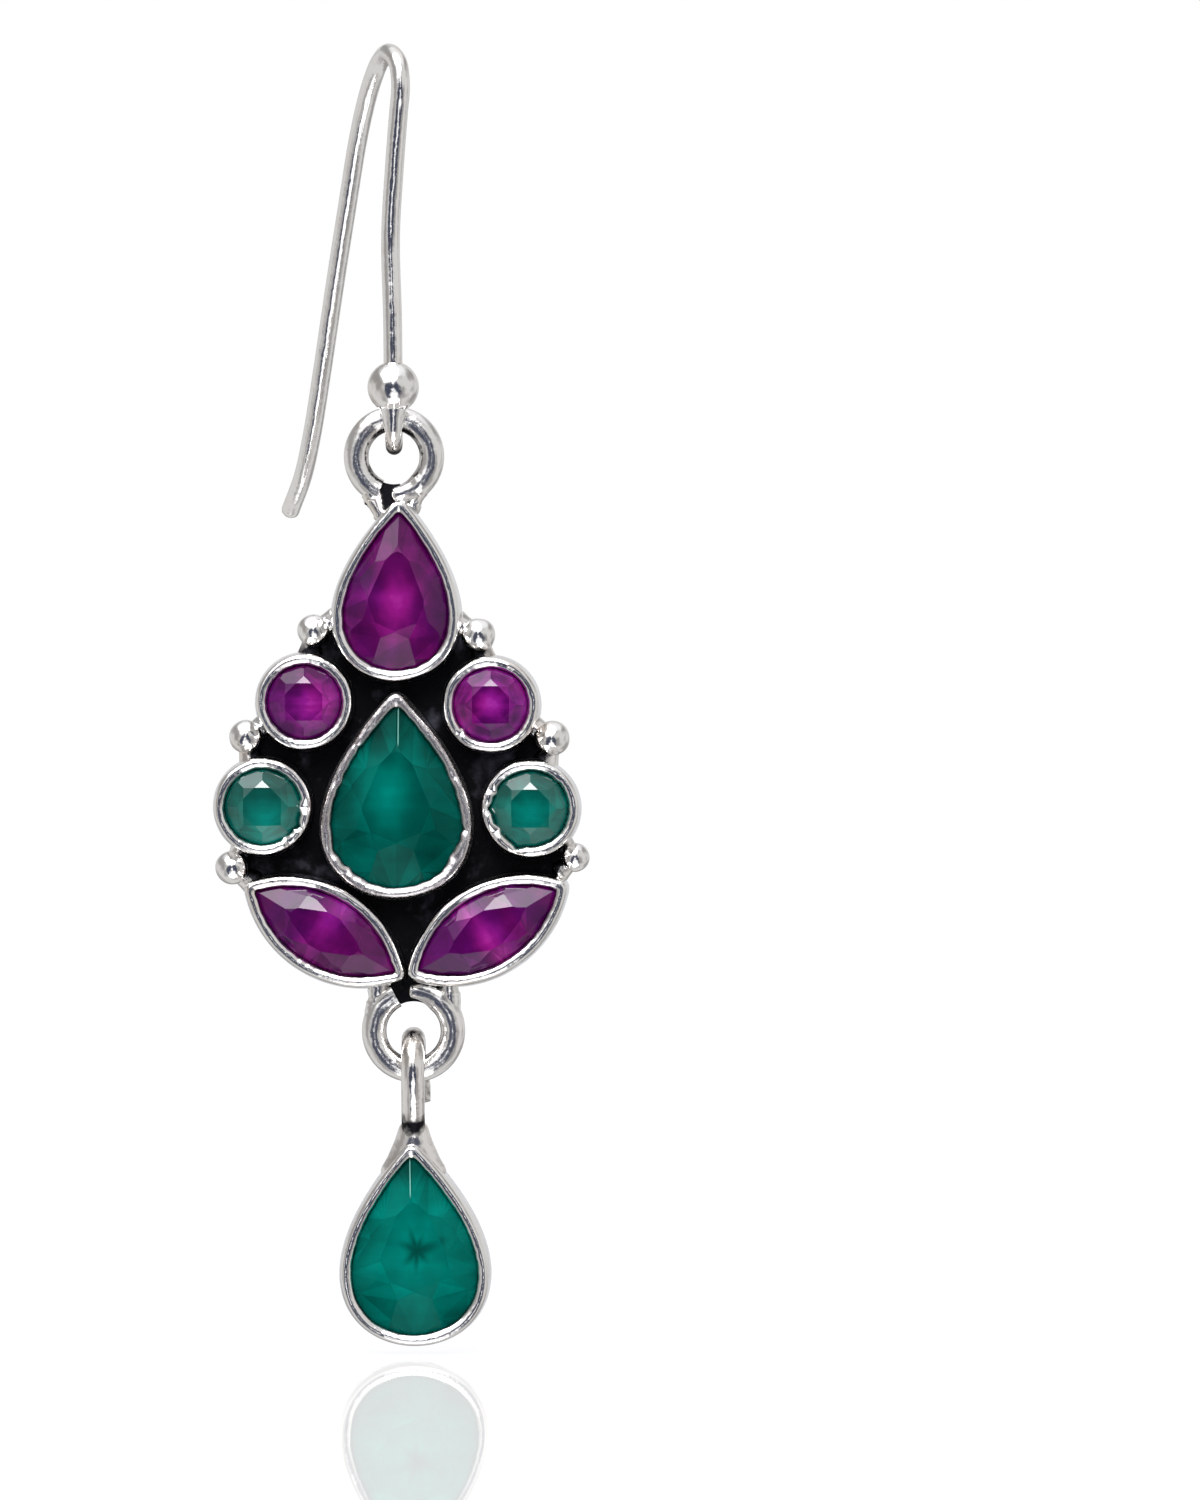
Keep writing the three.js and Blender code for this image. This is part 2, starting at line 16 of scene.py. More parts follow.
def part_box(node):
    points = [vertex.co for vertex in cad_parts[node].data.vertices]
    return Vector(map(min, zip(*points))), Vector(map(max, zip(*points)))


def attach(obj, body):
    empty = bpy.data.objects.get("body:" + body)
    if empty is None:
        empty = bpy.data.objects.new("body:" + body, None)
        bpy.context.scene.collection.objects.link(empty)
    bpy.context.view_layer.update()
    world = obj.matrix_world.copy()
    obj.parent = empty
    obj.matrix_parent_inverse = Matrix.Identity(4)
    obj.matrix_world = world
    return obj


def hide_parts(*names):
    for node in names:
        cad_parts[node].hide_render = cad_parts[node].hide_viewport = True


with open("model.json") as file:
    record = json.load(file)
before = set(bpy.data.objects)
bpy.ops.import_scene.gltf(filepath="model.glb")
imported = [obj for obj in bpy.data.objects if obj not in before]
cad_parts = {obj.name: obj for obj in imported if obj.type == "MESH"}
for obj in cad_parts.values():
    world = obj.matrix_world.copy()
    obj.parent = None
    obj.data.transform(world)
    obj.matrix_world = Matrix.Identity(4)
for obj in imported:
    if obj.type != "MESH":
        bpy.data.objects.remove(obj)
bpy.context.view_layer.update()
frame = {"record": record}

MM = 0.001
joints = {joint["name"]: joint for joint in frame["record"]["behaviour"]["joints"]}
cluster_pivot = Vector(joints["cluster_swing"]["pos_m"])
drop_pivot = Vector(joints["drop_swing"]["pos_m"])
PLANE = cluster_pivot.y

# %% [markdown]
# The camera is level and far away, as for a catalogue picture, so that the small depth of the
# piece is hardly foreshortened. One pixel of the picture is a known length at the earring, and
# the origin of the piece sits at a known pixel, so both places follow from plain sums.

# %% Camera
PIXEL = 0.0425 * MM
IMAGE = (1200, 1500)
ORIGIN_PIXEL = (389.4, 64)
LENS = 180
SENSOR = 36
middle = Vector(((IMAGE[0] / 2 - ORIGIN_PIXEL[0]) * PIXEL, PLANE, (ORIGIN_PIXEL[1] - IMAGE[1] / 2) * PIXEL))
distance = IMAGE[1] * PIXEL * LENS / SENSOR

camera_data = bpy.data.cameras.new("camera")
camera_data.lens = LENS
camera_data.sensor_width = SENSOR
camera_data.clip_start = 10 * MM
camera_data.clip_end = 10
camera = bpy.data.objects.new("camera", camera_data)
camera.location = middle - Vector((0, distance, 0))
camera.rotation_euler = (math.radians(90), 0, 0)
bpy.context.scene.collection.objects.link(camera)
bpy.context.scene.camera = camera
bpy.context.scene.view_settings.view_transform = "Standard"
print("camera stands", round(distance / MM), "mm in front")

# %% [markdown]
# Shader maths is easier to read as plain expressions than as a list of nodes and links.
# This small class holds one socket. Its operators add Math nodes, and one method adds any
# other node: settings are set first, and then the values or links of its sockets.


# %% Shader expressions
class Socket:
    """One output of a shader tree, with operators that add Math nodes."""

    def __init__(self, tree, output=None):
        self.tree = tree
        self.output = output

    def node(self, kind, settings=None, sockets=None, output=0):
        made = self.tree.nodes.new(kind)
        for key, value in (settings or {}).items():
            if key == "stops":
                self.set_stops(made.color_ramp, value)
            else:
                setattr(made, key, value)
        for key, value in (sockets or {}).items():
            if isinstance(value, Socket):
                self.tree.links.new(value.output, made.inputs[key])
            else:
                made.inputs[key].default_value = value
        return Socket(self.tree, made.outputs[output])

    @staticmethod
    def set_stops(ramp, stops):
        while len(ramp.elements) < len(stops):
            ramp.elements.new(1.0)
        for element, (place, colour) in zip(ramp.elements, stops):
            element.position = place
            element.color = (*colour, 1.0) if len(colour) == 3 else colour

    def maths(self, operation, first, second=0.0):
        return self.node("ShaderNodeMath", {"operation": operation}, {0: first, 1: second})

    def __add__(self, other):
        return self.maths("ADD", self, other)

    __radd__ = __add__

    def __sub__(self, other):
        return self.maths("SUBTRACT", self, other)

    def __rsub__(self, other):
        return self.maths("SUBTRACT", other, self)

    def __mul__(self, other):
        return self.maths("MULTIPLY", self, other)

    __rmul__ = __mul__

    def __truediv__(self, other):
        return self.maths("DIVIDE", self, other)

    def power(self, exponent):
        return self.maths("POWER", self, exponent)

    def step(self, low, high):
        """0 below low, 1 above high, smooth between."""
        return self.node("ShaderNodeMapRange", {"interpolation_type": "SMOOTHSTEP"},
                         {"Value": self, "From Min": low, "From Max": high})

    def ramp(self, *stops):
        return self.node("ShaderNodeValToRGB", {"stops": stops}, {"Fac": self})

    def mix(self, colour_low, colour_high):
        """Between two colours by this value."""
        return self.node("ShaderNodeMix", {"data_type": "RGBA"},
                         {0: self, 6: colour_low, 7: colour_high}, output=2)


def noise(shade, where, size, detail=2.0, roughness=0.5):
    """Cloudy values between 0 and 1 whose lumps measure about size metres."""
    return shade.node("ShaderNodeTexNoise", None,
                      {"Vector": where, "Scale": 1 / size, "Detail": detail, "Roughness": roughness})


def attribute(shade, name, output):
    return shade.node("ShaderNodeAttribute", {"attribute_name": name}, None, output)


def new_material(name, **constants):
    """A material with its Principled shader's constants set, and the tools to feed the rest."""
    material = bpy.data.materials.new(name)
    material.use_nodes = True
    shader = material.node_tree.nodes["Principled BSDF"]
    for key, value in constants.items():
        shader.inputs[key.replace("_", " ")].default_value = value
    return material, shader, Socket(material.node_tree)


def feed(shader, shade, **links):
    for key, socket in links.items():
        shade.tree.links.new(socket.output, shader.inputs[key.replace("_", " ")])


# %% [markdown]
# Polished silver is a mirror, so what it shows is mostly the room. The surface itself adds
# faint scratches, a slightly wavy hand finish, and dark silver sulphide where a polishing
# wheel can't reach. A value kept on the vertices says how deep in a recess a point lies, and
# on some pieces it also carries painted shade and a painted warm reflection. Noise breaks up
# its edge so that the dark tarnish and the painted shade look rubbed away.

# %% Silver
SILVER = (0.93, 0.92, 0.91, 1)
WARM_SILVER = (0.80, 0.72, 0.66, 1)
SULPHIDE_AND_SHADE = (0.012, 0.012, 0.015, 1)


def silver_material(name, wave, rough, tone=SILVER, warm_tone=WARM_SILVER):
    material, shader, shade = new_material(name, Metallic=1.0)
    where = shade.node("ShaderNodeTexCoord", None, None, "Object")
    patina = attribute(shade, "patina", "Fac")
    cloud = noise(shade, where, 0.55 * MM, 4.0)
    # The dark mask: real tarnish in recesses and, on some pieces, painted shade, both given the sulphide
    # colour.
    tarnish_and_painted_shade = (patina + (cloud - 0.5) * 0.7).step(0.35, 0.62)
    # Warm patches at random, and warmer where the vertex value is high, which on the rings' insides is a
    # painted warm reflection.
    warm = noise(shade, where, 1.9 * MM, 3.0).step(0.55, 0.72) * 0.5 + patina * 0.4
    clean = warm.mix(tone, warm_tone)
    colour = tarnish_and_painted_shade.mix(clean, SULPHIDE_AND_SHADE)
    fine = noise(shade, where, 0.09 * MM, 3.0)
    feed(shader, shade, Base_Color=colour,
         Roughness=rough + fine * 0.10 + tarnish_and_painted_shade * 0.35)
    swell = noise(shade, where, 0.8 * MM, 2.0) * wave + noise(shade, where, 0.16 * MM, 3.0) * (0.12 * wave)
    bump = shade.node("ShaderNodeBump", None,
                      {"Strength": 1.0, "Distance": 0.05 * MM, "Height": swell}, "Normal")
    feed(shader, shade, Normal=bump)
    return material


silver = silver_material("polished_silver", wave=1.0, rough=0.07)
rough_silver = silver_material("filed_silver", wave=1.2, rough=0.12)
hammered_silver = silver_material("hammered_silver", wave=1.8, rough=0.22,
                                  tone=(0.66, 0.63, 0.64, 1), warm_tone=(0.42, 0.35, 0.34, 1))

# %% [markdown]
# The back plate is dipped until it turns black, and then only its raised parts are polished
# again. What stays in the recesses is nearly black, with grey smears where the wheel touched.

# %% Oxidised plate
def oxidised_material():
    material, shader, shade = new_material("oxidised_silver", Metallic=1.0)
    where = shade.node("ShaderNodeTexCoord", None, None, "Object")
    smear = noise(shade, where, 1.4 * MM, 5.0, 0.6).step(0.52, 0.8)
    grain = noise(shade, where, 0.2 * MM, 3.0)
    patina = attribute(shade, "patina", "Fac")
    dark = smear.mix((0.006, 0.006, 0.007, 1), (0.07, 0.07, 0.09, 1))
    feed(shader, shade, Base_Color=patina.mix(SILVER, dark), Roughness=0.2 + grain * 0.15 + patina * 0.25)
    bump = shade.node("ShaderNodeBump", None,
                      {"Strength": 0.6, "Distance": 0.03 * MM, "Height": grain}, "Normal")
    feed(shader, shade, Normal=bump)
    return material


oxidised = oxidised_material()

# %% [markdown]
# Every loose piece here is a skin over a stack of outlines, so one helper makes them all.
# It joins ring after ring of points with quads and closes both ends.
# The patina of each point, and in places its painted shade and painted warm reflection, is stored with the
# mesh for the silver to read.


# %% Skin over a stack of rings
SHARP_ANGLE = math.radians(42)


def add_piece(name, bm, material, body, stands_for, smooth=True):
    """Turns a bmesh into an object that rides on a body and stands for a solid."""
    bmesh.ops.recalc_face_normals(bm, faces=bm.faces)
    mesh = bpy.data.meshes.new(name)
    bm.to_mesh(mesh)
    bm.free()
    mesh.polygons.foreach_set("use_smooth", [smooth] * len(mesh.polygons))
    if smooth:
        mesh.set_sharp_from_angle(angle=SHARP_ANGLE)
    mesh.materials.append(material)
    piece = bpy.data.objects.new(name, mesh)
    bpy.context.scene.collection.objects.link(piece)
    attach(piece, body)
    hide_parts(stands_for)
    return piece


def skin(bm, rings, patina=None):
    """Adds rings of points (levels, sides, 3), in metres, joins them and closes both ends."""
    layer = bm.verts.layers.float["patina"]
    levels, sides = rings.shape[:2]
    darks = np.zeros((levels, sides)) if patina is None else np.broadcast_to(patina, (levels, sides))
    rows = []
    for ring, dark in zip(rings, darks):
        row = [bm.verts.new(point) for point in ring]
        for vert, value in zip(row, dark):
            vert[layer] = value
        rows.append(row)
    for low, high in zip(rows, rows[1:]):
        for i in range(sides):
            j = (i + 1) % sides
            bm.faces.new((low[i], low[j], high[j], high[i]))
    for row in (rows[0], rows[-1]):
        hub = bm.verts.new(sum((vert.co for vert in row), Vector()) / sides)
        hub[layer] = row[0][layer]
        for i in range(sides):
            bm.faces.new((row[i], row[(i + 1) % sides], hub))


def new_bmesh():
    bm = bmesh.new()
    bm.verts.layers.float.new("patina")
    return bm


def set_patina_and_shade(bm, rule):
    """Sets the patina of every point from its place in mm, and on some pieces painted shade and a painted
    warm reflection.
    """
    layer = bm.verts.layers.float["patina"]
    for vert in bm.verts:
        vert[layer] = float(min(1, max(0, rule(np.array(vert.co) / MM))))


# %% [markdown]
# Wire is a round section carried along a curve. The section turns as little as it can on the
# way, so it never twists. The points of the curve come from a smooth spline through a few
# named places, and the ends are rounded over, as a file leaves them.


# %% Wire
WIRE_SIDES = 28
SPLINE_STEPS = 24
ANY_SIDE = (0.31, 0.87, 0.38)
END_LIFTS = (20, 40, 60, 85)
END_BULGE = 0.7


def spline(points, count):
    """A centripetal Catmull-Rom curve through the points, evenly spaced."""
    points = np.array(points, float)
    padded = np.vstack([2 * points[0] - points[1], points, 2 * points[-1] - points[-2]])
    curve = []
    for p0, p1, p2, p3 in zip(padded, padded[1:], padded[2:], padded[3:]):
        t1 = np.linalg.norm(p1 - p0) ** 0.5
        t2 = t1 + np.linalg.norm(p2 - p1) ** 0.5
        t3 = t2 + np.linalg.norm(p3 - p2) ** 0.5
        for t in np.linspace(t1, t2, SPLINE_STEPS, endpoint=False):
            a1 = p0 + (p1 - p0) * t / t1
            a2 = p1 + (p2 - p1) * (t - t1) / (t2 - t1)
            a3 = p2 + (p3 - p2) * (t - t2) / (t3 - t2)
            b1 = a1 + (a2 - a1) * t / t2
            b2 = a2 + (a3 - a2) * (t - t1) / (t3 - t1)
            curve.append(b1 + (b2 - b1) * (t - t1) / (t2 - t1))
    curve = np.vstack([curve, points[-1:]])
    run = np.r_[0, np.cumsum(np.linalg.norm(np.diff(curve, axis=0), axis=1))]
    even = np.linspace(0, run[-1], count)
    return np.stack([np.interp(even, run, curve[:, axis]) for axis in range(3)], 1)


def wire(bm, path, radius, patina=None, sides=WIRE_SIDES, round_ends=(True, True)):
    """A round wire in metres along a path; radius and patina may vary from point to point."""
    path = np.array(path, float)
    radii = np.broadcast_to(radius, len(path)).astype(float)
    darks = np.zeros((len(path), sides)) if patina is None else np.array(patina, float)
    if darks.ndim == 1:
        darks = np.repeat(darks[:, None], sides, 1)
    ahead = np.gradient(path, axis=0)
    ahead /= np.linalg.norm(ahead, axis=1)[:, None]
    side = np.cross(ahead[0], ANY_SIDE)
    angles = np.linspace(0, 2 * math.pi, sides, endpoint=False)
    rings, shades = [], []

    def ring(i, place, shrink):
        up = np.cross(ahead[i], side)
        return place + radii[i] * shrink * (np.outer(np.cos(angles), side) + np.outer(np.sin(angles), up))

    for i, place in enumerate(path):
        side = side - ahead[i] * side.dot(ahead[i])
        side /= np.linalg.norm(side)
        if i == 0 and round_ends[0]:
            for lift in reversed(END_LIFTS):
                bulge = radii[0] * math.sin(math.radians(lift))
                rings.append(ring(0, place - ahead[0] * bulge * END_BULGE, math.cos(math.radians(lift))))
                shades.append(darks[0])
        rings.append(ring(i, place, 1.0))
        shades.append(darks[i])
        if i == len(path) - 1 and round_ends[1]:
            for lift in END_LIFTS:
                bulge = radii[-1] * math.sin(math.radians(lift))
                rings.append(ring(i, place + ahead[-1] * bulge * END_BULGE, math.cos(math.radians(lift))))
                shades.append(darks[-1])
    skin(bm, np.array(rings), np.array(shades))


# %% [markdown]
# The ear hook is one piece of 0.8 mm wire. A jeweller bends it over a mandrel, so the front
# leg has a soft belly and the tail runs back and outwards. Its places are typed as shares of
# the hook's height and reach, as they are in the part's source. The tail is turned out a
# little more than the solid's and ends a little higher, as the photograph shows it.

# %% Ear hook
HOOK_WIRE = 0.8
HOOK_HEIGHT = 13.8
HOOK_REACH = 12.1
TAIL_DROP = 18.65
HOOK_TURN = math.radians(23.4)
BEND_BACK = 0.041
HOOK_STEPS = 260
LEG = ((0, 1), (0.006, 0.79), (0.025, 0.54), (-0.013, 0.317), (-0.05, 0.16), (-0.069, 0.08),
       (-0.045, 0.01))
TAIL = ((0.125, -0.006), (0.188, 0.027), (0.258, 0.08), (0.342, 0.17), (0.435, 0.304),
        (0.556, 0.482), (0.682, 0.679), (0.785, 0.828), (0.872, 0.92), (1, 1))


def hook_point(back, height):
    reach = (back - BEND_BACK) * HOOK_REACH
    return Vector((-math.sin(HOOK_TURN) * reach, math.cos(HOOK_TURN) * reach, height)) * MM


ball_centre = hook_point(0, -HOOK_HEIGHT)
hook_path = spline([*(hook_point(back, -down * HOOK_HEIGHT) for back, down in LEG),
                    hook_point(BEND_BACK, HOOK_WIRE / 2),
                    *(hook_point(back, -down * TAIL_DROP) for back, down in TAIL)], HOOK_STEPS)
hook_bm = new_bmesh()
wire(hook_bm, hook_path, HOOK_WIRE / 2 * MM, round_ends=(False, True))
print("ball centre in mm", [round(v / MM, 2) for v in ball_centre])

# %% [markdown]
# The ball is melted onto the leg, and below it the wire goes on as the loop that holds the
# ring. Where ball and loop join, the silver draws in to a smooth neck.
# The ball is turned on the spot: a short profile goes once round the upright axis. It is a
# trace smaller than the solid's, so that it clears the ring when the cluster swings.

# %% Ball, neck and loop
BALL = 2.18
LOOP_WIRE = 0.7
RING_WIRE = 1.05
LINK_CLEARANCE = 0.32
LOOP_RADIUS = (RING_WIRE + LOOP_WIRE) / 2 + LINK_CLEARANCE
STRAND_POINTS = 6
LATHE_SIDES = 64


def turned(bm, centre, profile, patina=0.0):
    """Turns a profile of (radius, height) in mm round the upright axis through centre."""
    angles = np.linspace(0, 2 * math.pi, LATHE_SIDES, endpoint=False)
    profile = np.array(profile)
    rings = np.stack([profile[:, :1] * np.cos(angles), profile[:, :1] * np.sin(angles),
                      np.repeat(profile[:, 1:], LATHE_SIDES, 1)], 2) * MM
    skin(bm, rings + np.array(centre), patina)


ball_profile = [(BALL / 2 * math.sin(a), BALL / 2 * math.cos(a))
                for a in np.radians(np.linspace(4, 150, 40))]
neck_profile = [(0.53, -1.02), (0.49, -1.15), (0.455, -1.3), (0.42, -1.5), (0.38, -1.72), (0.35, -1.9)]
turned(hook_bm, ball_centre, ball_profile + neck_profile)
upper_wire_y = ball_centre.y / MM + LOOP_RADIUS
loop_centre = Vector((ball_centre.x, upper_wire_y * MM, cluster_pivot.z + LOOP_RADIUS * MM))
loop_turn = np.radians(np.linspace(180, 470, 70))
loop_path = [loop_centre + LOOP_RADIUS * MM * Vector((0, math.cos(a), math.sin(a))) for a in loop_turn]
loop_dark = np.clip(-np.sin(loop_turn) - 0.55, 0, 1) * 1.6
loop_start = ball_centre - Vector((0, 0, BALL / 2 * MM))
strand = [loop_start.lerp(loop_path[0], share) for share in np.linspace(0, 0.9, STRAND_POINTS)]
wire(hook_bm, strand + loop_path, LOOP_WIRE / 2 * MM, np.r_[np.zeros(STRAND_POINTS), loop_dark])
add_piece("ear_hook_polished", hook_bm, silver, "hook", "ear_hook")
print("loop centre in mm", [round(v / MM, 2) for v in loop_centre])

# %% [markdown]
# Three outlines are used: pears, rounds and marquises. Each is worked out from its width and
# length, then resampled so that its points are evenly spaced, which lets a bezel be skinned
# from outlines of different sizes. The tip is always the first point.

# %% Outlines
PEAR_PEAK = 4 / (3 * math.sqrt(3))
FINE = 720


def pear_outline(width, length):
    angle = np.linspace(0, 2 * math.pi, FINE, endpoint=False)
    across = np.sin(angle) * np.sin(angle / 2) / PEAR_PEAK
    return np.stack([across * width / 2, np.cos(angle) * length / 2], 1)


def round_outline(width, length):
    angle = np.linspace(0, 2 * math.pi, FINE, endpoint=False)
    return np.stack([np.sin(angle) * width / 2, np.cos(angle) * length / 2], 1)


def marquise_outline(width, length):
    radius = (length ** 2 + width ** 2) / (4 * width)
    sweep = math.asin(length / 2 / radius)
    angle = np.linspace(-sweep, sweep, FINE // 2, endpoint=False)
    rise = radius * np.cos(angle) - (radius - width / 2)
    upper = np.stack([radius * np.sin(angle), rise], 1)
    return np.vstack([upper, -upper])


OUTLINES = {"pear": pear_outline, "round": round_outline, "marquise": marquise_outline}


def resampled(points, count):
    closed = np.vstack([points, points[:1]])
    run = np.r_[0, np.cumsum(np.linalg.norm(np.diff(closed, axis=0), axis=1))]
    even = np.linspace(0, run[-1], count, endpoint=False)
    return np.stack([np.interp(even, run, closed[:, axis]) for axis in range(2)], 1)


def outward_normals(points):
    """One unit normal for each side of a clockwise outline."""
    along = np.roll(points, -1, 0) - points
    return np.stack([-along[:, 1], along[:, 0]], 1) / np.linalg.norm(along, axis=1)[:, None]


def parallel(cut, width, length, gap):
    """The outline at a gap outside the stone's, rounded over at its points; inside, a smaller outline."""
    if gap <= 0:
        return OUTLINES[cut](width + 2 * gap, length + 2 * gap)
    points = OUTLINES[cut](width, length)
    normals = outward_normals(points)
    grown = []
    for point, before, after in zip(points, np.roll(normals, 1, 0), normals):
        corner = math.acos(min(1, max(-1, before @ after)))
        steps = max(1, round(corner / math.radians(4)))
        for share in (np.arange(steps) + 0.5) / steps:
            normal = before * (1 - share) + after * share
            grown.append(point + gap * normal / np.linalg.norm(normal))
    grown = np.array(grown)
    first = np.argmax(grown @ points[0])
    return np.roll(grown, -first, 0)


def softened(points, rounds):
    for _ in range(rounds):
        points = (np.roll(points, 1, 0) + 2 * points + np.roll(points, -1, 0)) / 4
    return points


def turned_by(points, degrees):
    angle = math.radians(degrees)
    turn = np.array([[math.cos(angle), math.sin(angle)], [-math.sin(angle), math.cos(angle)]])
    return points @ turn


# %% [markdown]
# Nine stones are set. Each row gives the cut, the width and length across the girdle in mm,
# the turn in degrees and the colour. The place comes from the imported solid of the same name.
# Only the drop is set a little higher than its solid, as the photograph shows it.

# %% Stones of the earring
STONES = {
    "top_pear_stone": ("pear", 4.72, 7.05, -1.9, "purple"),
    "left_upper_round_stone": ("round", 3.4, 3.4, 0, "purple"),
    "right_upper_round_stone": ("round", 3.4, 3.4, 0, "purple"),
    "centre_pear_stone": ("pear", 5.76, 8.05, 0, "green"),
    "left_lower_round_stone": ("round", 3.46, 3.46, 0, "green"),
    "right_lower_round_stone": ("round", 3.46, 3.46, 0, "green"),
    "left_marquise_stone": ("marquise", 3.2, 7.05, -30.4, "purple"),
    "right_marquise_stone": ("marquise", 3.2, 7.05, 30.4, "purple"),
    "drop_stone": ("pear", 5.6, 7.9, 1.4, "green"),
}


def stone_place(name):
    """Middle of the stone's girdle outline in world mm, and the height of its table."""
    cut, width, length, turn, _ = STONES[name]
    low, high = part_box(name)
    outline = turned_by(OUTLINES[cut](width, length), turn)
    shift = (outline.min(0) + outline.max(0)) / 2
    middle_x = (low.x + high.x) / 2 / MM - shift[0]
    middle_z = (low.z + high.z) / 2 / MM - shift[1]
    return middle_x, (PLANE - low.y) / MM, middle_z


DROP_RAISE = 0.17
places = {name: stone_place(name) for name in STONES}
drop_x, drop_table, drop_z = places["drop_stone"]
places["drop_stone"] = (drop_x, drop_table, drop_z + DROP_RAISE)
for name, place in places.items():
    print(name, [round(v, 2) for v in place])

# %% [markdown]
# A bezel is a strip of silver soldered upright round the stone and rubbed over its edge.
# Here it is a stack of outlines: up the tapered outside, over the burnished rim, and down to
# the seat inside. Hand work shows as a slow wobble along the rim and a few tool nicks, which
# are added to the outlines before they are skinned. The foot is dark where it stands in the
# recess of the plate, and the wall that faces outwards is polished all the way down. Under
# the rim's inner edge the silver is painted dark as the shade in the gap against the stone.

# %% Bezels
BEZEL_ROUND = 220
GIRDLE_TO_TABLE = 0.7
WALL = 0.33
DRAFT = 0.11
BEZEL_DEPTH = 2.06
RIM_RISE = 0.353
WOBBLE = 0.022
CENTRE_WOBBLE = 0.045
DROP_WOBBLE = 0.018
PLATE_BACK = -0.5
PLATE_FRONT = 0.4
GRAINS = ((-3.54, 6.99, 0.97), (3.45, 6.80, 1.0), (-6.41, 2.49, 1.0), (6.57, 2.41, 1.06),
          (-6.97, -3.09, 1.0), (7.58, -2.64, 0.86))
GRAIN_DIAMETER = 1.44
UPPER_HOLE = 2.17
LOWER_HOLE = 2.3
LOWER_RING_SHIFT = 0.28
GRAIN_INSET = 0.5
BAIL_WIRE = 1.0
BAIL_RADIUS = (RING_WIRE + BAIL_WIRE) / 2 + LINK_CLEARANCE
centre_x, _, centre_z = places["centre_pear_stone"]
grains = [(centre_x + x, centre_z + z, size) for x, z, size in GRAINS]
lower_ring = (drop_pivot.x / MM, drop_pivot.z / MM - BAIL_RADIUS + (LOWER_HOLE + RING_WIRE) / 2)
upper_ring = (ball_centre.x / MM, loop_centre.z / MM - (UPPER_HOLE + RING_WIRE) / 2)


def plate_outline():
    """From middle to middle of what stands on the plate's edge, but inside the two upper grains."""
    upper_left, upper_right, middle_left, middle_right, lower_left, lower_right = grains
    order = ("top_pear_stone", upper_right, "right_upper_round_stone", middle_right,
             "right_lower_round_stone", lower_right, "right_marquise_stone",
             (lower_ring[0] - LOWER_RING_SHIFT, lower_ring[1] + LOWER_HOLE / 2 + RING_WIRE),
             "left_marquise_stone", lower_left, "left_lower_round_stone", middle_left,
             "left_upper_round_stone", upper_left)
    corners = []
    for item in order:
        corner = np.array(places[item][::2] if isinstance(item, str) else item[:2])
        if item in grains[:2]:
            inwards = np.array([centre_x, centre_z]) - corner
            corner = corner + GRAIN_INSET * inwards / np.linalg.norm(inwards)
        corners.append(corner)
    return np.array(corners)


def is_inside(points, polygon):
    inside = np.zeros(len(points), bool)
    for start, end in zip(polygon, np.roll(polygon, -1, 0)):
        crosses = (start[1] > points[:, 1]) != (end[1] > points[:, 1])
        at = start[0] + (end[0] - start[0]) * (points[:, 1] - start[1]) / (end[1] - start[1])
        inside ^= crosses & (points[:, 0] < at)
    return inside


def slow_wobble(rng, count, size, waves=9):
    share = np.linspace(0, 2 * math.pi, count, endpoint=False)
    total = sum(rng.normal() / (k ** 0.5) * np.sin(k * share + rng.uniform(0, 6.3)) for k in range(2, waves))
    return size * total / np.abs(total).max()


